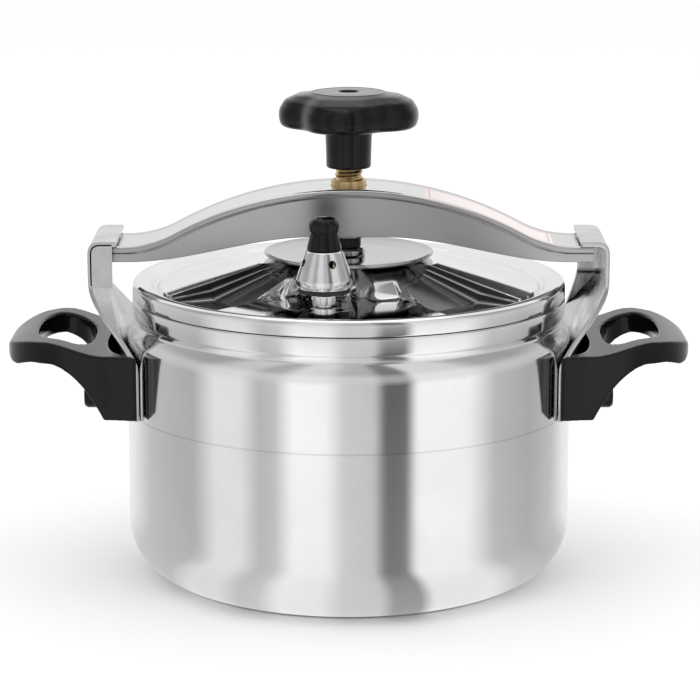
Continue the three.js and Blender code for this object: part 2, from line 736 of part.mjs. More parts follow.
// Both ears. The second is the first turned half a turn, so the bow locks the same way.
function ears() {
  let body = solid(earStrap(EAR_SHEET, 0)).add(solid(earStop()));
  for (const s of [-1, 1]) {
    const hole = bar(RIVET_SHANK_RADIUS + HOLE, POT_RADIUS - CUT_REACH, POT_RADIUS + CUT_REACH, 12);
    body = body.subtract(solid(pointedOut(hole, s * RIVET_ANGLE)));
    body = body.subtract(solid(screwBar(SCREW_RADIUS + HOLE, s, POT_RADIUS - CUT_REACH, noseX)));
  }
  piece("ear_right", geometryOf(body), STEEL);
  piece("ear_left", geometryOf(body), STEEL).rotation.z = Math.PI;
}

// The rivets that hold the ears on the pot, headed inside and outside.
function earRivets() {
  const outerFace = footFace + GAP;
  const profile = [
    [0, innerFlat - RIVET_HEAD_HEIGHT],
    [RIVET_HEAD - 1, innerFlat - RIVET_HEAD_HEIGHT],
    [RIVET_HEAD, innerFlat - RIVET_CONE],
    [RIVET_SHANK_RADIUS, innerFlat],
    [RIVET_SHANK_RADIUS, outerFace],
    [RIVET_HEAD, outerFace + 0.2],
    [RIVET_HEAD - 1, outerFace + RIVET_HEAD_HEIGHT],
    [0, outerFace + RIVET_HEAD_HEIGHT],
  ];
  for (const [side, turn] of [["right", 0], ["left", 180]]) {
    for (const [place, s] of [["front", -1], ["rear", 1]]) {
      const angle = turn + (turn ? -s : s) * RIVET_ANGLE;
      piece(`ear_rivet_${side}_${place}`, pointedOut(turned(profile, 14), angle), STEEL);
    }
  }
}

// A bar along X at one handle screw's place.
function screwBar(radius, s, low, high) {
  return bar(radius, low, high, 14).rotateY(Math.PI / 2).translate(0, s * SCREW_Y, screwZ);
}

// Handle's outline from above: it hugs the wall, runs out straight and ends in a round nose.
function handlePlan() {
  const wing = radians(WING_ANGLE);
  const straightEnd = POT_RADIUS + 25;
  const nose = new THREE.CubicBezierCurve(
    new THREE.Vector2(straightEnd, HANDLE_HALF_WIDTH),
    new THREE.Vector2(straightEnd + 0.62 * (noseX - straightEnd), 0.96 * HANDLE_HALF_WIDTH),
    new THREE.Vector2(noseX, 0.565 * HANDLE_HALF_WIDTH),
    new THREE.Vector2(noseX, 0),
  );
  const half = [
    [POT_RADIUS * Math.cos(wing) - 8, POT_RADIUS * Math.sin(wing) - 4.5],
    [POT_RADIUS * Math.cos(wing), POT_RADIUS * Math.sin(wing)],
    [POT_RADIUS - 6.3, HANDLE_HALF_WIDTH + 2],
    [POT_RADIUS + 5, HANDLE_HALF_WIDTH],
    ...nose.getPoints(8).map((p) => [p.x, p.y]),
  ];
  return [...half, ...half.slice(0, -1).map(([x, y]) => [x, -y]).reverse()];
}

// Handle's outline from the side: a block, a rising loop and a swept underside.
function handleSide() {
  const crown = handleTop + LOOP_RISE;
  const crownX = noseX - 21.7;
  const under = crown - LOOP_THICKNESS;
  const sweep = new THREE.QuadraticBezierCurve(
    new THREE.Vector2(POT_RADIUS + 8.6, handleBase),
    new THREE.Vector2(POT_RADIUS + 20.5, under - 3),
    new THREE.Vector2(crownX - 3, under),
  );
  const rise = new THREE.CubicBezierCurve(
    new THREE.Vector2(crownX, crown),
    new THREE.Vector2(crownX - 12, crown),
    new THREE.Vector2(POT_RADIUS + 20, handleTop),
    new THREE.Vector2(POT_RADIUS + 6, handleTop),
  );
  const points = (curve, steps) => curve.getPoints(steps).map((p) => [p.x, p.y]);
  return [
    [POT_RADIUS - 25, handleBase],
    ...points(sweep, 6),
    [noseX - 14, under - 0.3],
    [noseX - 5, under - 4],
    [noseX - 1.3, under - 2.6],
    [noseX, under + 1],
    [noseX - 1.3, under + 5],
    [noseX - 6, crown - 3],
    [noseX - 13, crown - 0.8],
    ...points(rise, 5),
    [POT_RADIUS - 25, handleTop],
  ];
}

// Round-cornered finger opening, seen from above.
function fingerOutline() {
  const from = POT_RADIUS + FINGER_START;
  const to = POT_RADIUS + FINGER_END;
  const power = 0.75; // below 1 squares an ellipse off
  const bulge = (v) => Math.sign(v) * Math.pow(Math.abs(v), power);
  return Array.from({ length: 20 }, (_, i) => {
    const t = (2 * Math.PI * i) / 20;
    const x = (from + to) / 2 + ((to - from) / 2) * bulge(Math.cos(t));
    return [x, FINGER_HALF_WIDTH * bulge(Math.sin(t))];
  });
}

// Handle: one moulding, cut out for the pot, the ear's foot, rivet heads, screws and fingers.
function handle() {
  const low = handleBase - 20;
  const tall = handleTop + LOOP_RISE + 20 - low;
  let body = solid(slab(handlePlan(), tall).translate(0, 0, low));
  const side = solid(sideSlab(handleSide(), POT_RADIUS));
  body = body.intersect(side);
  body = body.subtract(solid(slab(fingerOutline(), tall).translate(0, 0, low)));
  body = body.subtract(solid(bar(POT_RADIUS + GAP, low, low + tall, 72)));
  body = body.subtract(solid(earStrap(EAR_SHEET + 2 * GAP, GAP)));
  const pocket = bar(1, handleTop - POCKET_DEPTH, handleTop + 5, 28);
  pocket.scale(POCKET_REACH, HANDLE_HALF_WIDTH - POCKET_INSET, 1).translate(POT_RADIUS - 1, 0, 0);
  body = body.subtract(solid(pocket));
  const headRoom = footFace + RIVET_HEAD_HEIGHT + 2 * GAP;
  for (const s of [-1, 1]) {
    const head = pointedOut(bar(RIVET_HEAD + 0.7, POT_RADIUS - 5, headRoom, 14), s * RIVET_ANGLE);
    body = body.subtract(solid(head));
    body = body.subtract(solid(screwBar(SCREW_RADIUS + HOLE, s, POT_RADIUS - 9, noseX)));
    body = body.subtract(solid(screwBar(SCREW_HEAD + 0.8, s, seatX, noseX)));
  }
  return geometryOf(body);
}

// Both handles, and the two screws with washers that hold each one on its ear.
function handles() {
  const shape = handle();
  const washerEnd = seatX + GAP + WASHER_HEIGHT;
  const headFoot = washerEnd + GAP;
  const screw = [
    [0, earInner + GAP],
    [SCREW_RADIUS, earInner + GAP],
    [SCREW_RADIUS, headFoot],
    [SCREW_HEAD, headFoot],
    [SCREW_HEAD, headFoot + SCREW_HEAD_HEIGHT - 2],
    [SCREW_HEAD - 2, headFoot + SCREW_HEAD_HEIGHT],
    [0, headFoot + SCREW_HEAD_HEIGHT],
  ];
  const lay = (geometry, y) => geometry.rotateY(Math.PI / 2).translate(0, y, screwZ);
  for (const [side, turn] of [["right", 0], ["left", Math.PI]]) {
    const frame = new THREE.Group();
    frame.rotation.z = turn;
    group.add(frame);
    piece(`handle_${side}`, shape, BAKELITE, frame);
    for (const [place, s] of [["front", -1], ["rear", 1]]) {
      const y = (turn ? -s : s) * SCREW_Y;
      piece(`handle_screw_${side}_${place}`, lay(turned(screw, 16), y), BAKELITE, frame);
      const washer = ring(SCREW_RADIUS + HOLE, SCREW_HEAD, seatX + GAP, washerEnd, 16);
      piece(`handle_washer_${side}_${place}`, lay(washer, y), STEEL, frame);
    }
  }
}

// Working valve's stem, screwed through the lid, with its washer, nut and inlet screen.
function valveStem() {
  const under = panelTop - LID_SHEET;
  const washerTop = under - GAP;
  const washerFoot = washerTop - WASHER_HEIGHT;
  const nutTop = washerFoot - GAP;
  const nutFoot = nutTop - 4;
  const collarFoot = panelTop + GAP;
  const collarTop = collarFoot + STEM_COLLAR_HEIGHT;
  const stemFoot = nutFoot - 2;
  const stem = [
    [STEM_BORE, stemFoot],
    [STEM_RADIUS, stemFoot],
    [STEM_RADIUS, collarFoot],
    [STEM_COLLAR, collarFoot],
    [STEM_COLLAR, collarTop],
    [STEM_RADIUS, collarTop],
    [STEM_RADIUS, collarTop + 2],
    [STEM_NOZZLE, collarTop + 3],
    [STEM_NOZZLE, stemTop - 1.5],
    [STEM_BORE + 0.5, stemTop],
    [STEM_BORE, stemTop],
  ];
  const at = (geometry) => geometry.translate(valveX, valveY, 0);
  piece("valve_stem", at(ringTurned(stem, 18)), CHROME);
  const washer = ring(STEM_RADIUS + HOLE, STEM_COLLAR + 1.4, washerFoot, washerTop, 18);
  piece("valve_washer", at(washer), RUBBER);
  piece("valve_nut", at(hexNut(STEM_RADIUS + HOLE, STEM_COLLAR + 1.4, nutFoot, nutTop)), STEEL);
  const screen = [
    [0, stemFoot - 3],
    [STEM_RADIUS + HOLE + 1, stemFoot - 3],
    [STEM_RADIUS + HOLE + 1, nutFoot - GAP],
    [STEM_RADIUS + HOLE, nutFoot - GAP],
    [STEM_RADIUS + HOLE, stemFoot - 2],
    [0, stemFoot - 2],
  ];
  piece("valve_screen", at(turned(screen, 18)), STEEL);
}

// A hexagon nut between two heights, across-corners radius given, with a round bore.
function hexNut(bore, corner, low, high) {
  const blank = solid(bar(corner, low, high, 6));
  return geometryOf(blank.subtract(solid(bar(bore, low - 1, high + 1, 18))));
}

// The valve's weight: a vented bell with a ring below, a core on the nozzle and a cap.
function valveWeight() {
  const foot = panelTop + BELL_LIFT;
  const shoulder = foot + BELL_HEIGHT;
  const coreTop = shoulder - BELL_SHEET - GAP;
  const coreFoot = stemTop + GAP;
  const at = (geometry) => geometry.translate(valveX, valveY, 0);
  const edge = foot + 3;
  const bell = [
    [CAP_PIN + HOLE, shoulder - BELL_SHEET],
    [BELL_TOP_RADIUS - BELL_SHEET, shoulder - BELL_SHEET],
    [BELL_RADIUS - BELL_SHEET - 0.3, edge],
    [BELL_RADIUS - BELL_SHEET - 0.7, foot],
    [BELL_RADIUS - 0.7, foot],
    [BELL_RADIUS, foot + 1.6],
    [BELL_RADIUS, edge + 1.2],
    [BELL_TOP_RADIUS + 0.4, shoulder - 0.6],
    [BELL_TOP_RADIUS - 0.3, shoulder],
    [CAP_PIN + HOLE, shoulder],
  ];
  let shell = solid(ringTurned(bell, 20));
  const ventZ = foot + 0.7 * BELL_HEIGHT;
  for (let i = 0; i < VENT_COUNT; i++) {
    const turn = radians(VENT_TURN - 90 + (360 / VENT_COUNT) * i);
    const vent = bar(VENT_RADIUS, 4, BELL_RADIUS + 3, 12).rotateY(Math.PI / 2).rotateZ(turn);
    shell = shell.subtract(solid(vent.translate(0, 0, ventZ)));
  }
  piece("valve_bell", at(geometryOf(shell)), CHROME);

  const skirt = ring(STEM_COLLAR + 2.4, BELL_RADIUS - 1.2, foot - GAP - BELL_RING, foot - GAP, 20);
  piece("valve_ring", at(skirt), RUBBER);

  const core = [
    [0, coreFoot],
    [STEM_NOZZLE + 1.5, coreFoot],
    [BELL_TOP_RADIUS - BELL_SHEET - 1.2, coreTop - 1.5],
    [BELL_TOP_RADIUS - BELL_SHEET - 1.2, coreTop],
    [CAP_PIN, coreTop],
    [CAP_PIN, shoulder + CAP_PIN_RISE],
    [0, shoulder + CAP_PIN_RISE],
  ];
  piece("valve_weight", at(turned(core, 20)), BRASS);

  const neck = BELL_TOP_RADIUS - 2.2;
  const capFoot = shoulder + GAP;
  const capTop = shoulder + CAP_HEIGHT;
  const cap = [
    [0, shoulder + CAP_PIN_RISE + GAP],
    [CAP_PIN + HOLE, shoulder + CAP_PIN_RISE + GAP],
    [CAP_PIN + HOLE, capFoot],
    [BELL_TOP_RADIUS, capFoot],
    [neck, shoulder + 0.53 * CAP_HEIGHT],
    [neck + 0.9, shoulder + 0.56 * CAP_HEIGHT],
    [neck + 1, shoulder + 0.8 * CAP_HEIGHT],
    [neck - 0.5, shoulder + 0.92 * CAP_HEIGHT],
    [neck - 3.3, capTop - 0.2],
    [0, capTop],
  ];
  piece("valve_cap", at(turned(cap, 20)), BAKELITE);
}

// Safety valve in the rear channel: a body through the lid, a sprung plug and a nut below.
function safetyValve() {
  const [x, y] = safetyPlace();
  const at = (geometry) => geometry.translate(x, y, 0);
  const heights = arc(x, y, SAFETY_BODY, 0, 330, 11).map(([px, py]) => reliefHeight(px, py));
  const seat = Math.max(...heights) + SEAT_RISE;
  const under = Math.min(...heights) - LID_SHEET - SEAT_RISE;
  const bore = SAFETY_PLUG + RUN;
  const shank = SAFETY_PLUG + SAFETY_WALL;
  const body = [
    [bore, under - 6],
    [shank, under - 6],
    [shank, seat],
    [SAFETY_BODY, seat],
    [SAFETY_BODY, seat + SAFETY_HEIGHT - 1],
    [SAFETY_BODY - 1, seat + SAFETY_HEIGHT],
    [bore, seat + SAFETY_HEIGHT],
  ];
  piece("safety_body", at(ringTurned(body, 18)), BRASS);
  const plug = [
    [0, under - 5],
    [SAFETY_PLUG, under - 5],
    [SAFETY_PLUG, seat + SAFETY_HEIGHT + 1],
    [SAFETY_PLUG - 1, seat + SAFETY_HEIGHT + 2],
    [0, seat + SAFETY_HEIGHT + 2],
  ];
  piece("safety_plug", at(turned(plug, 16)), RUBBER);
  piece("safety_nut", at(hexNut(shank + HOLE, SAFETY_BODY, under - 4, under)), STEEL);
}

pot();
lid();
dish();
bow();
clampScrew();
knob();
ears();
earRivets();
handles();
valveStem();
valveWeight();
safetyValve();

export default group;
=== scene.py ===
"""Looks of a clamp-bow stovetop pressure cooker, built round its fixed frame.

Sizes are in millimetres until a mesh is made, and the frame is in metres. The origin is the
centre of the base, X runs along the bow and through both handles, and -Y is the front.
"""

import json
import logging
import math
from dataclasses import dataclass, field
from enum import Enum
from typing import Any, Callable, Optional, Sequence

import bmesh
import bpy
import numpy as np
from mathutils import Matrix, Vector

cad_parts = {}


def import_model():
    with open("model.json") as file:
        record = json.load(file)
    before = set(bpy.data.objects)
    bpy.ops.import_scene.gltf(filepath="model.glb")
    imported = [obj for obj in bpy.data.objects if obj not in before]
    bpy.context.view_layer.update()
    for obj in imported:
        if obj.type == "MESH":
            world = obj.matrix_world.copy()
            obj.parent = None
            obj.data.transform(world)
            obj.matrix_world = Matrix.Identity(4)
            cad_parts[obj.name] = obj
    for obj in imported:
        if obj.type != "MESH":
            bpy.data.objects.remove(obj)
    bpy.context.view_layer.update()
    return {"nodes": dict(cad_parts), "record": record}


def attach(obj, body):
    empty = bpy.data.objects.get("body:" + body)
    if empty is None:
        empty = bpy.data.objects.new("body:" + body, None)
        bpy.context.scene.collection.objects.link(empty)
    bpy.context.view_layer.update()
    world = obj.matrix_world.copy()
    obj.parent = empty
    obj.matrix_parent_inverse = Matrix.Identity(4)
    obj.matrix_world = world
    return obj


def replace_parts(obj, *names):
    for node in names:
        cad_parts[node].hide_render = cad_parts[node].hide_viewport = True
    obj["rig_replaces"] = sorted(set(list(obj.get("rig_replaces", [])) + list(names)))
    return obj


LOG = logging.getLogger("cooker")
METRE = 0.001  # one millimetre, in metres

# Pot
POT_RADIUS = 110.0
RIM_TOP = 140.0
POT_WALL = 3.0
POT_BASE = 4.0
POT_CORNER = 27.0
RIM_RADIUS = 107.0
MOUTH_RADIUS = 98.5
WAIST_RADIUS = 105.0
WAIST_TOP = 131.0
WAIST_FOOT = 128.0
WALL_TOP = 117.5

# Lid
LID_FOOT = 140.3
LID_TOP = 148.0
LID_SHEET = 2.5
HUB_RADIUS = 45.0
HUB_TOP = 158.0
CONE_DROP = 12.5
ARM_DEPTH = 3.2
ARM_RUN = 21.0
ARM_FALL = 8.5
RELIEF_RADIUS = 93.0
PANEL_TOP = 145.6
PANEL_WRAP = 26.0
WALL_BLEND = 3.0
FRONT_SPAN = (204.0, 330.0)
PANEL_SPAN = (228.0, 300.0)
REAR_SPAN = (78.0, 96.0)

# Dish, bow and screw
DISH_RIM = 41.8
DISH_FOOT = 158.3
DISH_HEIGHT = 3.2
DISH_SHEET = 1.2
BOW_HALF_LENGTH = 119.5
BOW_TOP = 195.0
BOW_CROWN = 28.0
BOW_END_RUN = 9.5
BOW_FILLET = 52.0
BOW_DEPTH = 23.6
BOW_END_DEPTH = 8.0
SPINDLE_RADIUS = 6.9
THREAD_PITCH = 3.0
THREAD_DEPTH = 0.9
KNOB_FOOT = 203.0
DISC_FOOT = 223.0
KNOB_TOP = 240.5
KNOB_RADIUS = 34.4
KNOB_NOTCH = 0.163
KNOB_LOBES = 4
KNOB_TURN = 260.1

# Ears
EAR_SHEET = 2.5
EAR_HALF_WIDTH = 25.0
EAR_FOOT_HALF_WIDTH = 44.0
EAR_OUTER = 127.0
EAR_TOP = 170.1
EAR_FOOT = 85.0
EAR_SLOPE_FOOT = 112.0
EAR_SLOPE_TOP = 147.1
EAR_FLANGE = 14.0
EAR_CORNER = 5.0
EAR_STOP = 12.0
RIVET_Z = 107.0
RIVET_ANGLE = 15.0

# Handles
HANDLE_BASE = 86.0
HANDLE_TOP = 117.5
HANDLE_CROWN = 124.0
HANDLE_LOOP = 10.5
HANDLE_HALF_WIDTH = 46.0
NOSE_X = 168.7
WING_ANGLE = 29.8
FINGER_X = (126.0, 153.0)
FINGER_HALF_WIDTH = 31.0
SCREW_Y = 20.0
SCREW_Z = 93.0
SCREW_SEAT = 118.3
VOXEL = 0.8  # grid of the handles' moulded skin

# Valves
VALVE = (-11.59, -54.79)
VENTS = 4
VENT_START = -68.0  # direction of the first vent, in degrees
VENT_RADIUS = 1.9
VENT_RISE = 12.6
BELL_FOOT = 153.8
BELL_SHOULDER = 171.8
BELL_RADIUS = 13.7


class Body(Enum):
    """The bodies of the frame that a new piece rides on."""

    COOKER = "cooker"
    LID = "lid"
    BOW = "bow"
    FOOT = "foot"
    SCREW = "screw"
    VALVE = "valve"


# ---------------------------------------------------------------- shaders


class Graph:
    """A thin helper that adds and wires nodes in one tree."""

    def __init__(self, tree: bpy.types.NodeTree) -> None:
        """Takes the tree that nodes are added to."""
        self.tree = tree

    def add(self, kind: str, settings: Optional[dict] = None, **inputs: Any) -> bpy.types.Node:
        """Adds a node.

        Args:
            kind: the node's type name.
            settings: properties set on the node.
            inputs: values or sockets, by input name with spaces as underscores.

        Returns:
            The new node.
        """
        node = self.tree.nodes.new(kind)
        for key, value in (settings or {}).items():
            setattr(node, key, value)
        for key, value in inputs.items():
            self.feed(node.inputs[key.replace("_", " ")], value)
        return node

    def feed(self, socket: bpy.types.NodeSocket, value: Any) -> None:
        """Sets a socket to a value, or links another socket to it.

        Args:
            socket: the input to set.
            value: a number, a colour or another socket.
        """
        if isinstance(value, bpy.types.NodeSocket):
            self.tree.links.new(value, socket)
        else:
            socket.default_value = value

    def math(self, operation: str, *values: Any, clamp: bool = False) -> bpy.types.NodeSocket:
        """A Math node's result.

        Args:
            operation: the operation's name.
            values: numbers or sockets.
            clamp: whether the result is held between 0 and 1.

        Returns:
            The result.
        """
        node = self.add("ShaderNodeMath", {"operation": operation, "use_clamp": clamp})
        for socket, value in zip(node.inputs, values):
            self.feed(socket, value)
        return node.outputs[0]

    def times(self, first: Any, second: Any) -> bpy.types.NodeSocket:
        """The product of two values."""
        return self.math("MULTIPLY", first, second)

    def plus(self, first: Any, second: Any) -> bpy.types.NodeSocket:
        """The sum of two values."""
        return self.math("ADD", first, second)

    def minus(self, first: Any, second: Any) -> bpy.types.NodeSocket:
        """The first value less the second."""
        return self.math("SUBTRACT", first, second)

    def remap(
        self, value: Any, low: float, high: float, out_low: float = 0.0, out_high: float = 1.0
    ) -> bpy.types.NodeSocket:
        """A smooth change from out_low to out_high as value goes from low to high.

        Args:
            value: number or socket to change.
            low: where the change starts.
            high: where the change ends.
            out_low: result at low.
            out_high: result at high.

        Returns:
            The changed value.
        """
        node = self.add("ShaderNodeMapRange", {"interpolation_type": "SMOOTHSTEP"})
        for index, item in enumerate((value, low, high, out_low, out_high)):
            self.feed(node.inputs[index], item)
        return node.outputs[0]

    def blend(self, factor: Any, first: Any, second: Any) -> bpy.types.NodeSocket:
        """A colour between two others.

        Args:
            factor: 0 for the first colour and 1 for the second.
            first: first colour.
            second: second colour.

        Returns:
            The colour between them.
        """
        node = self.add("ShaderNodeMix", {"data_type": "RGBA"})
        for index, item in ((0, factor), (6, first), (7, second)):
            self.feed(node.inputs[index], item)
        return node.outputs[2]

    def place(self) -> tuple:
        """Object coordinates, in metres, and their X, Y and Z."""
        where = self.add("ShaderNodeTexCoord").outputs["Object"]
        parts = self.add("ShaderNodeSeparateXYZ", Vector=where).outputs
        return where, parts[0], parts[1], parts[2]


def group_tree(name: str, inputs: Sequence[str], outputs: Sequence[tuple]) -> tuple:
    """Makes an empty shader node group.

    Args:
        name: the group's name.
        inputs: names of its float inputs.
        outputs: (name, socket type) pairs.

    Returns:
        The graph, its input node's sockets and its output node.
    """
    tree = bpy.data.node_groups.new(name, "ShaderNodeTree")
    for each in inputs:
        tree.interface.new_socket(each, in_out="INPUT", socket_type="NodeSocketFloat")
    for each, kind in outputs:
        tree.interface.new_socket(each, in_out="OUTPUT", socket_type=kind)
    graph = Graph(tree)
    return graph, graph.add("NodeGroupInput").outputs, graph.add("NodeGroupOutput")


def spun_lines_group() -> bpy.types.NodeTree:
    """Fine lines left by spinning and polishing, running round Z on walls and flats alike.

    Returns:
        The node group.
    """
    graph, given, out = group_tree(
        "spun_lines", ["Density", "Depth"], [("Value", "NodeSocketFloat"), ("Normal", "NodeSocketVector")]
    )
    _, x, y, z = graph.place()
    radius = graph.math("SQRT", graph.plus(graph.times(x, x), graph.times(y, y)))
    across = graph.times(graph.plus(radius, z), given["Density"])
    around = graph.add("ShaderNodeCombineXYZ")
    for index, item in enumerate((graph.times(x, 9.0), graph.times(y, 9.0), across)):
        graph.feed(around.inputs[index], item)
    noise = graph.add("ShaderNodeTexNoise", Vector=around.outputs[0], Scale=1.0, Detail=3.0)
    bump = graph.add("ShaderNodeBump", Strength=given["Depth"], Distance=0.0004, Height=noise.outputs[0])
    graph.feed(out.inputs["Value"], noise.outputs[0])
    graph.feed(out.inputs["Normal"], bump.outputs[0])
    return graph.tree


def clouds_group() -> bpy.types.NodeTree:
    """Soft uneven patches, with a finer grain over them.

    Returns:
        The node group.
    """
    graph, given, out = group_tree(
        "clouds", ["Scale", "Depth"], [("Value", "NodeSocketFloat"), ("Normal", "NodeSocketVector")]
    )
    where, *_ = graph.place()
    large = graph.add("ShaderNodeTexNoise", Vector=where, Scale=given["Scale"], Detail=4.0, Roughness=0.6)
    fine_scale = graph.times(given["Scale"], 14.0)
    fine = graph.add("ShaderNodeTexNoise", Vector=where, Scale=fine_scale, Detail=2.0)
    bump = graph.add("ShaderNodeBump", Strength=given["Depth"], Distance=0.0003, Height=fine.outputs[0])
    graph.feed(out.inputs["Value"], graph.remap(large.outputs[0], 0.3, 0.7))
    graph.feed(out.inputs["Normal"], bump.outputs[0])
    return graph.tree


def edge_wear_group() -> bpy.types.NodeTree:
    """A mask that is 1 where the surface turns sharply, broken up by noise.

    Returns:
        The node group.
    """
    graph, given, out = group_tree("edge_wear", ["Width"], [("Mask", "NodeSocketFloat")])
    bevel = graph.add("ShaderNodeBevel", {"samples": 4}, Radius=given["Width"])
    normal = graph.add("ShaderNodeNewGeometry").outputs["Normal"]
    dot = graph.add("ShaderNodeVectorMath", {"operation": "DOT_PRODUCT"})
    graph.feed(dot.inputs[0], bevel.outputs[0])
    graph.feed(dot.inputs[1], normal)
    where, *_ = graph.place()
    noise = graph.add("ShaderNodeTexNoise", Vector=where, Scale=420.0, Detail=3.0)
    turned = graph.remap(dot.outputs["Value"], 0.995, 0.9)
    graph.feed(out.inputs["Mask"], graph.times(turned, graph.remap(noise.outputs[0], 0.4, 0.6)))
    return graph.tree


@dataclass(frozen=True)
class Finish:
    """A surface finish. Subclasses wire their own shader.

    Attributes:
        slot: the record's material slot.
        color: linear base colour.
        roughness: middle roughness.
        patch_scale: size of the uneven patches, in cycles a metre.
        patch_amount: how far the patches change the roughness.
    """

    slot: str
    color: tuple
    roughness: float
    patch_scale: float = 30.0
    patch_amount: float = 0.05

    def material(self) -> bpy.types.Material:
        """The finish's material, made the first time that it is asked for.

        Returns:
            The material.
        """
        name = f"{self.slot}_{type(self).__name__.lower()}"
        found = bpy.data.materials.get(name)
        if found:
            return found
        made = bpy.data.materials.new(name)
        made.use_nodes = True
        made.node_tree.nodes.clear()
        graph = Graph(made.node_tree)
        shader = graph.add("ShaderNodeBsdfPrincipled")
        graph.add("ShaderNodeOutputMaterial", Surface=shader.outputs[0])
        graph.feed(shader.inputs["Base Color"], (*self.color, 1.0))
        graph.feed(shader.inputs["Roughness"], self.roughness)
        self.wire(graph, shader)
        return made

    def shared(self, graph: Graph, name: str, **inputs: Any) -> bpy.types.bpy_prop_collection:
        """Adds one of the shared node groups and returns its outputs."""
        node = graph.add("ShaderNodeGroup", {"node_tree": bpy.data.node_groups[name]}, **inputs)
        return node.outputs

    def patches(self, graph: Graph, shader: bpy.types.Node, depth: float) -> bpy.types.NodeSocket:
        """Uneven roughness and a slight change of colour. Returns the patches' value.

        Args:
            graph: the material's nodes.
            shader: its Principled shader.
            depth: strength of the fine grain's bump.

        Returns:
            The patches' value.
        """
        clouds = self.shared(graph, "clouds", Scale=self.patch_scale, Depth=depth)
        low, high = self.roughness - self.patch_amount, self.roughness + self.patch_amount
        rough = graph.remap(clouds["Value"], 0.0, 1.0, max(low, 0.02), high)
        darker = tuple(0.88 * c for c in self.color)
        shade = graph.blend(clouds["Value"], (*self.color, 1.0), (*darker, 1.0))
        graph.feed(shader.inputs["Roughness"], rough)
        graph.feed(shader.inputs["Base Color"], shade)
        graph.feed(shader.inputs["Normal"], clouds["Normal"])
        return clouds["Value"]

    def wire(self, graph: Graph, shader: bpy.types.Node) -> None:
        """Wires the finish's own detail into the shader."""
        self.patches(graph, shader, 0.1)


@dataclass(frozen=True)
class Metal(Finish):
    """Bare metal with patches and slightly brighter edges."""

    edge: float = 0.5

    def wire(self, graph: Graph, shader: bpy.types.Node) -> None:
        """Metal with patches, and polished edges.

        Args:
            graph: the material's nodes.
            shader: its Principled shader.
        """
        graph.feed(shader.inputs["Metallic"], 1.0)
        self.patches(graph, shader, 0.12)
        color = shader.inputs["Base Color"].links[0].from_socket
        mask = self.shared(graph, "edge_wear", Width=0.0006)["Mask"]
        lighter = tuple(min(1.0, 1.25 * c) for c in self.color)
        worn = graph.blend(graph.times(mask, self.edge), color, (*lighter, 1.0))
        graph.feed(shader.inputs["Base Color"], worn)


@dataclass(frozen=True)
class Spun(Finish):
    """Polished metal spun round Z, which smears what it reflects across its fine lines.

    Attributes:
        smear: anisotropy on the walls.
        line_z: height of a faint polishing line, in metres, or 0 for none.
        channel: roughness of the pressed channels, where the mesh marks them; when set, the channels are also
            coloured darker and their steep sides get painted shade, near black.
    """

    smear: float = 0.7
    line_z: float = 0.0
    channel: float = 0.0

    def wire(self, graph: Graph, shader: bpy.types.Node) -> None:
        """Spun lines, a faint polishing line, satin channels, and painted shade on the channels' steep sides.

        Args:
            graph: the material's nodes.
            shader: its Principled shader.
        """
        graph.feed(shader.inputs["Metallic"], 1.0)
        graph.feed(shader.inputs["Anisotropic"], self.smear)
        tangent = graph.add("ShaderNodeTangent", {"direction_type": "RADIAL", "axis": "Z"})
        graph.feed(shader.inputs["Tangent"], tangent.outputs[0])
        lines = self.shared(graph, "spun_lines", Density=2600.0, Depth=0.012)
        clouds = self.shared(graph, "clouds", Scale=self.patch_scale, Depth=0.0)
        rough = graph.remap(lines["Value"], 0.25, 0.75, self.roughness * 0.75, self.roughness * 1.25)
        uneven = graph.remap(clouds["Value"], 0.0, 1.0, -self.patch_amount, self.patch_amount)
        rough = graph.plus(rough, uneven)
        color = graph.blend(clouds["Value"], (*self.color, 1.0), (*[0.95 * c for c in self.color], 1.0))
        if self.line_z:
            _, _, _, z = graph.place()
            below = graph.remap(z, self.line_z + 0.0006, self.line_z - 0.0006)
            rough = graph.plus(rough, graph.times(below, 0.03))
            near = graph.math("ABSOLUTE", graph.minus(z, self.line_z))
            line = graph.remap(near, 0.0007, 0.0002, 0.0, 0.35)
            color = graph.blend(line, color, (0.45, 0.45, 0.46, 1.0))
        if self.channel:
            mark = graph.add("ShaderNodeAttribute", {"attribute_name": "channel"}).outputs["Fac"]
            extra = graph.times(mark, self.channel)
            rough = graph.plus(rough, extra)
            color = graph.blend(mark, color, (*[0.62 * c for c in self.color], 1.0))
            # Painted shade: the channels' steep sides, where the mesh marks them, are coloured near black to
            # stand in for the dark that they reflect.
            side = graph.add("ShaderNodeAttribute", {"attribute_name": "side"}).outputs["Fac"]
            color = graph.blend(side, color, (0.04, 0.038, 0.036, 1.0))
        graph.feed(shader.inputs["Roughness"], rough)
        graph.feed(shader.inputs["Base Color"], color)
        graph.feed(shader.inputs["Normal"], lines["Normal"])


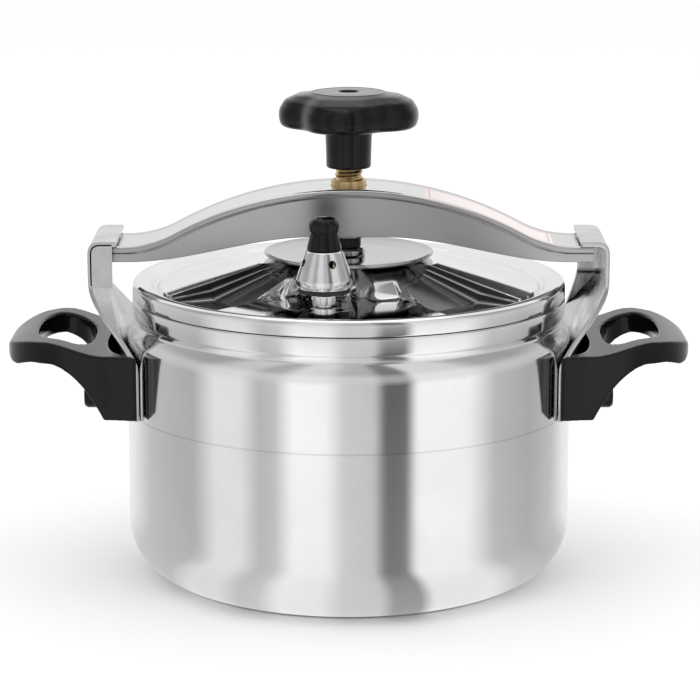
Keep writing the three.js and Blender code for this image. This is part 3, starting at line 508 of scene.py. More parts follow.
@dataclass(frozen=True)
class BowSteel(Finish):
    """Pressed steel: polished on top, satin down the sides, which are also painted darker as shade, with a
    plain pale patch on top.

    Attributes:
        side_roughness: roughness of the satin sides.
        patch_x: middle of the patch along X, in metres, as the next three are.
        patch_half_length: half its length along X.
        patch_half_width: half its width along Y.
        patch_line: how far inside its edge its thin line runs.
    """

    side_roughness: float = 0.3
    patch_x: float = 0.069
    patch_half_length: float = 0.031
    patch_half_width: float = 0.0135
    patch_line: float = 0.0016

    def wire(self, graph: Graph, shader: bpy.types.Node) -> None:
        """Top and side finishes, painted shade on the sides, lengthwise grain and the patch.

        Args:
            graph: the material's nodes.
            shader: its Principled shader.
        """
        where, x, y, z = graph.place()
        normal = graph.add("ShaderNodeTexCoord").outputs["Normal"]
        up = graph.add("ShaderNodeSeparateXYZ", Vector=normal).outputs[2]
        top = graph.remap(up, 0.35, 0.75)
        stretch = graph.add("ShaderNodeMapping", Vector=where, Scale=(14.0, 900.0, 900.0))
        grain = graph.add("ShaderNodeTexNoise", Vector=stretch.outputs[0], Scale=1.0, Detail=3.0)
        cloud = self.shared(graph, "clouds", Scale=self.patch_scale, Depth=0.0)["Value"]
        polished = graph.remap(cloud, 0.0, 1.0, self.roughness * 0.8, self.roughness * 1.3)
        rough = self.side_roughness
        satin = graph.remap(grain.outputs[0], 0.3, 0.7, rough * 0.96, rough * 1.04)
        mix = graph.add("ShaderNodeMix", {"data_type": "FLOAT"})
        for index, item in enumerate((top, satin, polished)):
            graph.feed(mix.inputs[(0, 2, 3)[index]], item)
        # Painted shade: where the surface turns away from up, the steel colour darkens to 0.72 of itself; the
        # satin roughness above is the real finish.
        steel = graph.blend(top, (*[0.72 * c for c in self.color], 1.0), (*self.color, 1.0))

        # The patch: a rounded strip, with a thin line just inside its edge.
        along = graph.math("ABSOLUTE", graph.minus(x, self.patch_x))
        aside = graph.math("ABSOLUTE", y)
        reach = graph.math(
            "MAXIMUM",
            graph.minus(along, self.patch_half_length),
            graph.minus(aside, self.patch_half_width),
        )
        inside = graph.remap(reach, 0.0003, -0.0001)
        patch = graph.times(inside, graph.math("GREATER_THAN", up, 0.5))
        line = graph.remap(graph.math("ABSOLUTE", graph.plus(reach, self.patch_line)), 0.0005, 0.0002)
        paper = graph.blend(line, (0.83, 0.76, 0.76, 1.0), (0.70, 0.36, 0.36, 1.0))
        graph.feed(shader.inputs["Base Color"], graph.blend(patch, steel, paper))
        graph.feed(shader.inputs["Metallic"], graph.minus(1.0, patch))
        paper_rough = graph.times(patch, 0.45)
        graph.feed(shader.inputs["Roughness"], graph.math("MAXIMUM", mix.outputs[0], paper_rough))
        bump = graph.add("ShaderNodeBump", Strength=0.004, Distance=0.0002, Height=grain.outputs[0])
        graph.feed(shader.inputs["Normal"], bump.outputs[0])


@dataclass(frozen=True)
class Moulded(Finish):
    """Glossy dark moulding with a faint flow in its surface and dulled edges."""

    def wire(self, graph: Graph, shader: bpy.types.Node) -> None:
        """Gloss with faint flow marks, and slightly rubbed edges.

        Args:
            graph: the material's nodes.
            shader: its Principled shader.
        """
        self.patches(graph, shader, 0.06)
        graph.feed(shader.inputs["Specular IOR Level"], 0.27)
        color = shader.inputs["Base Color"].links[0].from_socket
        mask = self.shared(graph, "edge_wear", Width=0.0005)["Mask"]
        worn = graph.blend(graph.times(mask, 0.12), color, (0.04, 0.04, 0.042, 1.0))
        graph.feed(shader.inputs["Base Color"], worn)


POT_FINISH = Spun("pot_aluminium", (0.86, 0.86, 0.87), 0.085, 24.0, 0.012, smear=0.5, line_z=0.0855)
LID_FINISH = Spun("lid_aluminium", (0.86, 0.86, 0.87), 0.06, 24.0, 0.012, smear=0.3, channel=0.12)
BOW_FINISH = BowSteel("bow_steel", (0.66, 0.65, 0.645), 0.12, 26.0)
EAR_FINISH = Metal("ear_steel", (0.63, 0.62, 0.61), 0.2, 60.0, 0.09)
STEEL_FINISH = Metal("fixings", (0.6, 0.59, 0.58), 0.22, 80.0, 0.06)
DISH_FINISH = Spun("fixings", (0.5, 0.49, 0.48), 0.12, 24.0, 0.01, smear=0.3)
CHROME_FINISH = Metal("chrome", (0.86, 0.86, 0.88), 0.06, 60.0, 0.02)
BRASS_FINISH = Metal("brass", (0.62, 0.46, 0.24), 0.32, 120.0, 0.1)
BAKELITE_FINISH = Moulded("bakelite", (0.004, 0.004, 0.0045), 0.115, 45.0, 0.03)
RUBBER_FINISH = Finish("rubber", (0.018, 0.018, 0.018), 0.6, 90.0, 0.12)


# ---------------------------------------------------------------- shapes


def smoothstep(value: np.ndarray, low: float, high: float) -> np.ndarray:
    """0 below low, 1 above high, and an even S between them."""
    t = np.clip((value - low) / (high - low), 0.0, 1.0)
    return t * t * (3.0 - 2.0 * t)


def rounded(points: Sequence, radius: float, closed: bool = False, steps: int = 5) -> np.ndarray:
    """A polyline with each corner replaced with a short curve.

    Each curve is a quadratic Bezier that leaves and joins the two edges at the given distance
    from the corner, or at 0.42 of an edge where that is shorter.

    Args:
        points: (n, 2) corners.
        radius: distance from a corner at which its curve starts.
        closed: whether the last point joins the first.
        steps: segments in each curve.

    Returns:
        The new points, as an (m, 2) array.
    """
    corner = np.asarray(points, float)
    before, after = np.roll(corner, 1, 0), np.roll(corner, -1, 0)
    to_before, to_after = before - corner, after - corner
    length_before = np.linalg.norm(to_before, axis=1, keepdims=True)
    length_after = np.linalg.norm(to_after, axis=1, keepdims=True)
    start = corner + to_before * np.minimum(radius / length_before, 0.42)
    end = corner + to_after * np.minimum(radius / length_after, 0.42)
    t = np.linspace(0.0, 1.0, steps + 1)[None, :, None]
    curve = (1 - t) ** 2 * start[:, None] + 2 * t * (1 - t) * corner[:, None] + t**2 * end[:, None]
    if closed:
        return curve.reshape(-1, 2)
    return np.vstack([corner[:1], curve[1:-1].reshape(-1, 2), corner[-1:]])


def quads(rows: int, columns: int, wrap_rows: bool, wrap_columns: bool, start: int = 0) -> np.ndarray:
    """Corner numbers of the faces of a grid of points, as a (faces, 4) array.

    Args:
        rows: rows of points.
        columns: points in each row.
        wrap_rows: whether the last row joins the first.
        wrap_columns: whether the last column joins the first.
        start: number of the first point.

    Returns:
        The faces' corner numbers.
    """
    row = np.arange(rows if wrap_rows else rows - 1)[:, None]
    column = np.arange(columns if wrap_columns else columns - 1)[None, :]
    next_row, next_column = (row + 1) % rows, (column + 1) % columns
    corners = [
        row * columns + column,
        row * columns + next_column,
        next_row * columns + next_column,
        next_row * columns + column,
    ]
    return np.stack(np.broadcast_arrays(*corners), -1).reshape(-1, 4) + start


def make_mesh(name: str, points: np.ndarray, faces: Sequence, crease: float = 32.0) -> bpy.types.Object:
    """A mesh object from points in millimetres.

    Args:
        name: the object's name.
        points: (n, 3) points.
        faces: corner numbers of each face.
        crease: angle in degrees above which an edge stays sharp.

    Returns:
        The object, closed at its poles, with its normals outward.
    """
    mesh = bpy.data.meshes.new(name)
    mesh.from_pydata((points * METRE).tolist(), [], [list(map(int, f)) for f in faces])
    work = bmesh.new()
    work.from_mesh(mesh)
    bmesh.ops.remove_doubles(work, verts=work.verts, dist=1e-7)
    bmesh.ops.dissolve_degenerate(work, edges=work.edges, dist=1e-8)
    bmesh.ops.recalc_face_normals(work, faces=work.faces)
    work.to_mesh(mesh)
    work.free()
    made = bpy.data.objects.new(name, mesh)
    bpy.context.scene.collection.objects.link(made)
    shade(made, crease)
    return made


def shade(made: bpy.types.Object, crease: float) -> None:
    """Smooth shading, with edges above the crease angle kept sharp."""
    made.data.shade_smooth()
    made.data.set_sharp_from_angle(angle=math.radians(crease))


def applied(made: bpy.types.Object, crease: float = 32.0) -> bpy.types.Object:
    """Puts the result of an object's modifiers into its mesh.

    Args:
        made: the object.
        crease: angle in degrees above which an edge stays sharp.

    Returns:
        The same object.
    """
    graph = bpy.context.evaluated_depsgraph_get()
    graph.update()
    result = bpy.data.meshes.new_from_object(made.evaluated_get(graph))
    made.modifiers.clear()
    made.data = result
    shade(made, crease)
    return made


def carved(made: bpy.types.Object, tools: Sequence, operation: str = "DIFFERENCE") -> bpy.types.Object:
    """Cuts tools from an object, or meets it with them, and removes the tools.

    Args:
        made: the object.
        tools: the objects that cut it.
        operation: name of the Boolean operation.

    Returns:
        The same object.
    """
    for tool in tools:
        modifier = made.modifiers.new("cut", "BOOLEAN")
        modifier.operation = operation
        modifier.solver = "EXACT"
        modifier.object = tool
    applied(made)
    for tool in tools:
        bpy.data.objects.remove(tool)
    return made


def lathe_points(profile: np.ndarray, steps: int) -> np.ndarray:
    """A profile of (radius, height) pairs spun about Z, as a (rows, steps, 3) grid.

    Args:
        profile: (n, 2) radius and height pairs.
        steps: facets round the axis.

    Returns:
        The points.
    """
    turn = np.linspace(0.0, 2 * np.pi, steps, endpoint=False)
    radius, height = profile[:, :1], profile[:, 1:]
    return np.stack([radius * np.cos(turn), radius * np.sin(turn), height + 0 * turn], -1)


def prism(
    name: str, outline: np.ndarray, low: float, high: float, side: bool = False
) -> bpy.types.Object:
    """A closed outline with thickness along Z, or along Y when side is true.

    Args:
        name: the object's name.
        outline: (n, 2) corners of the outline.
        low: where the thickness starts.
        high: where the thickness ends.
        side: whether the thickness is along Y.

    Returns:
        The object.
    """
    count = len(outline)
    flat = np.vstack([np.c_[outline, np.full(count, low)], np.c_[outline, np.full(count, high)]])
    points = flat[:, [0, 2, 1]] if side else flat
    faces = [list(range(count)), list(range(2 * count - 1, count - 1, -1))]
    faces += [list(f) for f in quads(2, count, False, True)]
    return make_mesh(name, points, faces)


def rod(
    radius: float, low: float, high: float, steps: int = 48, turn: Optional[Callable] = None
) -> bpy.types.Object:
    """A plain round cutter along Z, or moved by a function of its points.

    Args:
        radius: its radius.
        low: its foot.
        high: its top.
        steps: facets round it.
        turn: function that moves its points.

    Returns:
        The object.
    """
    profile = np.array([[0, low], [radius, low], [radius, high], [0, high]], float)
    points = lathe_points(profile, steps).reshape(-1, 3)
    if turn:
        points = turn(points)
    return make_mesh("cutter", points, quads(4, steps, False, True))


def along_x(points: np.ndarray, y: float, z: float) -> np.ndarray:
    """Lays points made along Z down along X, at a place in Y and Z."""
    return np.c_[points[:, 2], points[:, 1] + y, -points[:, 0] + z]


def pointed_out(points: np.ndarray, degrees: float, z: float) -> np.ndarray:
    """Lays points made along Z down to point out from the pot's axis at an angle.

    Args:
        points: (n, 3) points along Z.
        degrees: direction from the pot's axis.
        z: height of the axis they are laid on.

    Returns:
        The moved points.
    """
    t = math.radians(degrees)
    x, y, up = points[:, 2], points[:, 1], -points[:, 0]
    return np.c_[x * math.cos(t) - y * math.sin(t), x * math.sin(t) + y * math.cos(t), up + z]


# ---------------------------------------------------------------- pieces


@dataclass
class Piece:
    """A finished piece and how it belongs to the frame.

    Attributes:
        name: name of the new object.
        body: body that it rides on.
        finish: its surface.
        nodes: nodes of the frame that it stands for.
    """

    name: str
    body: Body
    finish: Finish
    nodes: tuple = field(default_factory=tuple)

    def shape(self) -> bpy.types.Object:
        """Makes the piece's mesh object."""
        raise NotImplementedError

    def build(self) -> bpy.types.Object:
        """Makes the piece, finishes it and fixes it to the frame.

        Returns:
            The object.
        """
        made = self.shape()
        made.data.materials.clear()
        made.data.materials.append(self.finish.material())
        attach(made, self.body.value)
        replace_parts(made, *(self.nodes or (self.name.removesuffix("_look"),)))
        LOG.info("%s: %d faces", self.name, len(made.data.polygons))
        return made


@dataclass
class Turned(Piece):
    """A round piece: a profile, softened at its corners and spun.

    Attributes:
        profile: (radius, height) corners, from axis to axis or closed on themselves.
        closed: whether the profile closes on itself.
        soften: how far from a corner its curve starts.
        steps: facets round the axis.
        at: place of the axis.
        move: extra movement of the points.
    """

    profile: Sequence = ()
    closed: bool = False
    soften: float = 0.4
    steps: int = 96
    at: tuple = (0.0, 0.0)
    move: Optional[Callable[[np.ndarray], np.ndarray]] = None

    def shape(self) -> bpy.types.Object:
        """Spins the softened profile.

        Returns:
            The object.
        """
        line = rounded(self.profile, self.soften, self.closed)
        points = lathe_points(line, self.steps).reshape(-1, 3)
        points[:, :2] += self.at
        if self.move:
            points = self.move(points)
        faces = quads(len(line), self.steps, self.closed, True)
        return make_mesh(self.name, points, faces)


def pot_profile() -> list:
    """The pot's section, from the middle of its base out, up, over the rim and back inside.

    Returns:
        Radius and height pairs.
    """
    bend = np.radians(np.linspace(-90, 0, 15))
    outer = np.c_[
        POT_RADIUS - POT_CORNER + POT_CORNER * np.cos(bend), POT_CORNER + POT_CORNER * np.sin(bend)
    ]
    inner_bend = POT_CORNER - POT_WALL
    inner = np.c_[
        POT_RADIUS - POT_CORNER + inner_bend * np.cos(bend[::-1]),
        POT_BASE + inner_bend + inner_bend * np.sin(bend[::-1]),
    ]
    rise = np.linspace(0, 1, 12)
    shoulder = np.c_[
        POT_RADIUS - (POT_RADIUS - WAIST_RADIUS) * rise**2.2, WALL_TOP + (WAIST_FOOT - WALL_TOP) * rise
    ]
    rim = [
        [WAIST_RADIUS, WAIST_TOP], [RIM_RADIUS, WAIST_TOP], [RIM_RADIUS, RIM_TOP],
        [MOUTH_RADIUS, RIM_TOP], [MOUTH_RADIUS, WAIST_TOP], [WAIST_RADIUS - POT_WALL, WAIST_FOOT],
        [POT_RADIUS - POT_WALL, WALL_TOP],
    ]
    return [[0, 0], *outer.tolist(), *shoulder.tolist(), *rim, *inner.tolist(), [0, POT_BASE]]


class Relief:
    """Height of the lid's pressed upper surface."""

    @staticmethod
    def span(degrees: np.ndarray, low: float, high: float) -> np.ndarray:
        """1 inside a range of angles and 0 outside it, with a ledge half way up each side.

        Args:
            degrees: angles of the points.
            low: where the range starts.
            high: where the range ends.

        Returns:
            A value from 0 to 1 for each point.
        """
        past = np.mod(degrees - low, 360.0)
        width = high - low
        outside = np.where(past > width, np.minimum(past - width, 360.0 - past), 0.0) / WALL_BLEND
        return 1 - 0.5 * smoothstep(outside, 0.0, 0.4) - 0.5 * smoothstep(outside, 0.55, 0.95)

    @classmethod
    def height(cls, x: np.ndarray, y: np.ndarray) -> tuple:
        """Height of the surface and how much of a channel is there.

        The sectors are a cone from the hub to the rim. A channel's floor falls from well
        inside the hub to a bend, and is nearly level from there to the rim. The front panel
        is level, and wraps round the valve.

        Args:
            x: places along X.
            y: places along Y.

        Returns:
            The heights, and the channel's share from 0 to 1.
        """
        radius, degrees = np.hypot(x, y), np.degrees(np.arctan2(y, x))
        out = np.clip((radius - HUB_RADIUS) / (RELIEF_RADIUS - HUB_RADIUS), 0, 1)
        sector = HUB_TOP - CONE_DROP * out
        bend = RELIEF_RADIUS - ARM_RUN
        at_bend = HUB_TOP - CONE_DROP * (bend - HUB_RADIUS) / (RELIEF_RADIUS - HUB_RADIUS) - ARM_FALL
        floor = np.interp(
            radius,
            [HUB_RADIUS - 15, bend, RELIEF_RADIUS],
            [HUB_TOP, at_bend, HUB_TOP - CONE_DROP - ARM_DEPTH],
        )
        channel = np.maximum(cls.span(degrees, *FRONT_SPAN), cls.span(degrees, *REAR_SPAN))
        near = np.hypot(x - VALVE[0], y - VALVE[1])
        wedge = cls.span(degrees, *PANEL_SPAN) * smoothstep(radius, HUB_RADIUS - 4, HUB_RADIUS + 6)
        panel = np.maximum(wedge, 1 - smoothstep(near, PANEL_WRAP - 2, PANEL_WRAP + 2.5))
        pad = 0.2 * (1 - smoothstep(near, 19.0, 19.8)) + 0.2 * (1 - smoothstep(near, 11.2, 12.0))
        base = sector + (floor - sector) * channel
        return base + (PANEL_TOP - pad - base) * panel, channel * (1 - panel)

    @classmethod
    def sides(cls, x: np.ndarray, y: np.ndarray) -> np.ndarray:
        """Where the finish paints shade: 1 on a channel's two steep sides, less on the ledge between their
        two steps.

        A side is where the channel is only partly there: the product of what is there and
        what isn't, times four, is 1 half way up and 0 at the floor and the sector.

        Args:
            x: places along X.
            y: places along Y.

        Returns:
            A value from 0 to 1 for each point.
        """
        radius, degrees = np.hypot(x, y), np.degrees(np.arctan2(y, x))
        there = np.maximum(cls.span(degrees, *FRONT_SPAN), cls.span(degrees, *REAR_SPAN))
        ledge = 1 - 0.6 * (np.abs(there - 0.5) < 0.02)
        return smoothstep(4 * there * (1 - there), 0.02, 0.3) * ledge * smoothstep(radius, 36, 44)


class Lid(Piece):
    """The lid: a rolled rim round pressed channels that run in to the hub."""

    def shape(self) -> bpy.types.Object:
        """A grid in radius and angle, closer together at the channels' sides.

        Returns:
            The object.
        """
        walls = [a for s in (FRONT_SPAN, PANEL_SPAN, REAR_SPAN) for a in s]
        fine = [np.linspace(w - 4, w + 4, 33) for w in walls]
        degrees = np.unique(np.round(np.mod(np.concatenate([np.linspace(0, 360, 241), *fine]), 360), 3))
        top = np.concatenate([np.linspace(0, 40, 10), np.linspace(41, RELIEF_RADIUS, 53)])
        under = np.linspace(0, RELIEF_RADIUS, 24)[::-1]
        rim = rounded(
            [
                [RELIEF_RADIUS, 0], [94.5, 143.8], [95.3, 144.4], [96.0, 144.4], [98.0, 146.7],
                [101.5, LID_TOP], [104.5, LID_TOP], [106.3, 147.2], [RIM_RADIUS, 145.5],
                [RIM_RADIUS, LID_FOOT], [104.8, LID_FOOT], [104.8, 144.2], [99.2, 144.2],
                [99.2, LID_FOOT], [97.0, LID_FOOT], [97.0, 137.7], [94.5, 137.7], [94.5, LID_FOOT],
                [RELIEF_RADIUS, -1],
            ],
            0.7,
        )[1:-1]
        radius = np.concatenate([top, rim[:, 0], under])
        turn = np.radians(degrees)
        x, y = radius[:, None] * np.cos(turn), radius[:, None] * np.sin(turn)
        surface, channel = Relief.height(x, y)
        height = surface.copy()
        rows = slice(len(top), len(top) + len(rim))
        height[rows] = rim[:, 1:]
        height[rows.stop :] -= LID_SHEET
        channel[rows.start :] = 0
        points = np.stack([x, y, height], -1).reshape(-1, 3)
        faces = quads(len(radius), len(degrees), False, True)
        made = make_mesh(self.name, points, faces, 40)
        self.mark(made)
        return made

    @staticmethod
    def mark(made: bpy.types.Object) -> None:
        """Stores where the channels are, and their steep sides, which the finish paints near black as shade.

        Args:
            made: the lid's object.
        """
        count = len(made.data.vertices)
        place = np.empty(count * 3)
        made.data.vertices.foreach_get("co", place)
        place = place.reshape(-1, 3) / METRE
        _, channel = Relief.height(place[:, 0], place[:, 1])
        # Mask of the steep sides, for their painted shade.
        side = Relief.sides(place[:, 0], place[:, 1])
        for name, values in (("channel", channel), ("side", side)):
            values[np.hypot(place[:, 0], place[:, 1]) > RELIEF_RADIUS] = 0
            layer = made.data.attributes.new(name, "FLOAT", "POINT")
            layer.data.foreach_set("value", values.astype(np.float32))


class Arch:
    """The bow's curves along its length."""

    LEVEL = BOW_HALF_LENGTH - BOW_END_RUN
    LEAN = 2 * math.atan(BOW_CROWN / (BOW_HALF_LENGTH - BOW_END_RUN))
    RADIUS = (BOW_HALF_LENGTH - BOW_END_RUN) / math.sin(LEAN) - BOW_FILLET

    @classmethod
    def top(cls, x: np.ndarray) -> np.ndarray:
        """Height of the beads: an arch, a reverse bend and a level end.

        Args:
            x: places along the bow.

        Returns:
            The heights.
        """
        d = np.abs(x)
        arch = BOW_TOP - cls.RADIUS + np.sqrt(np.maximum(cls.RADIUS**2 - d * d, 0))
        back = np.clip(cls.LEVEL - d, 0, BOW_FILLET)
        bend = BOW_TOP - BOW_CROWN + BOW_FILLET - np.sqrt(BOW_FILLET**2 - back**2)
        return np.where(d <= cls.RADIUS * math.sin(cls.LEAN), arch, bend)

    @staticmethod
    def foot(x: np.ndarray) -> np.ndarray:
        """Height of the side flanges' lower edge.

        Args:
            x: places along the bow.

        Returns:
            The heights.
        """
        share = smoothstep(np.abs(x), 0.15 * BOW_HALF_LENGTH, 0.9 * BOW_HALF_LENGTH)
        middle, end = BOW_TOP - BOW_DEPTH, BOW_TOP - BOW_CROWN - BOW_END_DEPTH
        return middle + (end - middle) * share


class Bow(Piece):
    """The bow: a pressed channel, open below, with a bead along each upper edge."""

    FOOT_MARK = -100.0

    def shape(self) -> bpy.types.Object:
        """Sweeps the section along the arch and cuts the bush's hole.

        Returns:
            The object.
        """
        half = [
            [16.5, -3.1], [16.5, self.FOOT_MARK], [19.0, self.FOOT_MARK], [19.0, -4.0], [19.6, -3.4],
            [20.0, -2.4], [20.0, -1.2], [19.5, -0.35], [18.6, 0.0], [17.4, -0.1], [16.4, -0.6],
            [15.2, -0.6],
        ]
        outline = rounded(half + [[-y, z] for y, z in half[::-1]], 0.5, closed=True, steps=4)
        x = np.linspace(-BOW_HALF_LENGTH, BOW_HALF_LENGTH, 241)
        y, z = outline[:, 0], outline[:, 1]
        from_foot = Arch.foot(x)[:, None] + (z - self.FOOT_MARK)
        height = np.where(z < -50, from_foot, Arch.top(x)[:, None] + z)
        points = np.stack(np.broadcast_arrays(x[:, None], y[None], height), -1).reshape(-1, 3)
        count = len(outline)
        faces = [list(f) for f in quads(len(x), count, False, True)]
        faces += [list(range(count)), list(range(len(points) - 1, len(points) - 1 - count, -1))]
        made = make_mesh(self.name, points, faces)
        return carved(made, [rod(9.0, 175, 200)])


class Spindle(Piece):
    """The clamp screw, with a right-hand thread."""

    def shape(self) -> bpy.types.Object:
        """Radius falls between the crests, which climb one pitch a turn.

        Returns:
            The object.
        """
        low, start, high = 171.8, 176.0, 221.7
        z = np.concatenate([[low], np.linspace(low, start, 4), np.linspace(start, high, 330), [high]])
        turn = np.linspace(0, 2 * np.pi, 48, endpoint=False)
        phase = np.mod(z[:, None] / THREAD_PITCH - turn / (2 * np.pi), 1.0)
        groove = THREAD_DEPTH * (1 - np.abs(2 * phase - 1))
        radius = np.where(z[:, None] < start, 5.9, SPINDLE_RADIUS - groove)
        radius[0] = radius[-1] = 0
        points = np.stack([radius * np.cos(turn), radius * np.sin(turn), z[:, None] + 0 * turn], -1)
        return make_mesh(self.name, points.reshape(-1, 3), quads(len(z), 48, False, True), 60)


def lobed(points: np.ndarray) -> np.ndarray:
    """Draws a turned knob in between its four lobes, more towards its edge.

    Args:
        points: (n, 3) points of the round knob.

    Returns:
        The moved points.
    """
    radius = np.hypot(points[:, 0], points[:, 1])
    turn = KNOB_LOBES * (np.arctan2(points[:, 1], points[:, 0]) - math.radians(KNOB_TURN))
    notch = ((1 - np.cos(turn)) / 2) ** 2
    share = 1 - KNOB_NOTCH * notch * smoothstep(radius, 13.6, KNOB_RADIUS - 4)
    return np.c_[points[:, 0] * share, points[:, 1] * share, points[:, 2]]


class Ear(Piece):
    """An ear: a bent strap, narrow and flat at its top, wide and curved to the pot below."""

    def line(self) -> np.ndarray:
        """Middle line of the sheet in X and Z, from the foot to the flange's free edge.

        Returns:
            (n, 2) points.
        """
        foot, wall = POT_RADIUS + 0.3 + EAR_SHEET / 2, EAR_OUTER - EAR_SHEET / 2
        rise = EAR_SLOPE_TOP - EAR_SLOPE_FOOT
        top = EAR_TOP - EAR_SHEET / 2
        path = np.array(
            [
                [foot, EAR_FOOT], [foot, EAR_SLOPE_FOOT],
                [foot + 0.2 * (wall - foot), EAR_SLOPE_FOOT + 0.3 * rise],
                [foot + 0.93 * (wall - foot), EAR_SLOPE_FOOT + 0.9 * rise],
                [wall, EAR_SLOPE_TOP + 1], [wall, top], [EAR_OUTER - EAR_FLANGE, top],
            ]
        )
        soft = rounded(path, EAR_CORNER, steps=10)
        along = np.r_[0, np.cumsum(np.hypot(*np.diff(soft, axis=0).T))]
        even = np.linspace(0, along[-1], 110)
        return np.c_[np.interp(even, along, soft[:, 0]), np.interp(even, along, soft[:, 1])]

    @staticmethod
    def spread(x: np.ndarray, y: np.ndarray, z: np.ndarray, widen: np.ndarray) -> np.ndarray:
        """Lets the sheet fall back with the pot's round wall, less and less up the ear.

        Args:
            x: places along X.
            y: places across the strap.
            z: heights.
            widen: how much wider each place is at the foot.

        Returns:
            The points as one array.
        """
        t = np.clip((z - EAR_SLOPE_FOOT) / (EAR_SLOPE_TOP - EAR_SLOPE_FOOT), 0, 1)
        wide = y + widen * (1 - t * t)
        sag = POT_RADIUS - np.sqrt(POT_RADIUS**2 - wide**2)
        return np.stack([x - sag * (1 - t), wide, z], -1)

    def sheet(self, name: str, grid: np.ndarray) -> bpy.types.Object:
        """Gives a grid of points the sheet's thickness and soft edges.

        Args:
            name: the object's name.
            grid: (rows, columns, 3) points.

        Returns:
            The object.
        """
        rows, columns = grid.shape[:2]
        made = make_mesh(name, grid.reshape(-1, 3), quads(rows, columns, False, False))
        solid = made.modifiers.new("sheet", "SOLIDIFY")
        solid.thickness = EAR_SHEET * METRE
        solid.offset = 0
        bevel = made.modifiers.new("edge", "BEVEL")
        bevel.width = 0.5 * METRE
        bevel.segments = 2
        bevel.limit_method = "ANGLE"
        bevel.angle_limit = math.radians(50)
        return applied(made)

    def shape(self) -> bpy.types.Object:
        """The strap and the stop along one edge, turned half a turn for the left ear.

        Returns:
            The object.
        """
        line = self.line()
        inset = EAR_HALF_WIDTH
        y = np.linspace(-1, 1, 49)
        extra = (EAR_FOOT_HALF_WIDTH - EAR_HALF_WIDTH) * y
        strap = self.spread(*np.broadcast_arrays(line[:, :1], inset * y[None], line[:, 1:]), extra)
        inner = EAR_OUTER - EAR_STOP
        upright = line[(line[:, 1] > EAR_SLOPE_FOOT) & (line[:, 0] > inner)]
        upright = upright[: int(np.argmax(upright[:, 1] > EAR_TOP - EAR_SHEET / 2 - 0.05)) + 1]
        share = np.linspace(0, 1, 14)
        across = inner + (upright[:, :1] - inner) * share
        depth = np.full_like(across, EAR_HALF_WIDTH - EAR_SHEET / 2)
        height = upright[:, 1:] + 0 * across
        stop = self.spread(across, depth, height, EAR_FOOT_HALF_WIDTH - EAR_HALF_WIDTH)
        side = 1 if self.name.startswith("ear_right") else -1
        turn = np.array([side, side, 1])
        made = self.sheet(self.name, strap * turn)
        flange = self.sheet("stop", stop * turn)
        joined = bmesh.new()
        joined.from_mesh(made.data)
        joined.from_mesh(flange.data)
        joined.to_mesh(made.data)
        joined.free()
        bpy.data.objects.remove(flange)
        shade(made, 32)
        return made


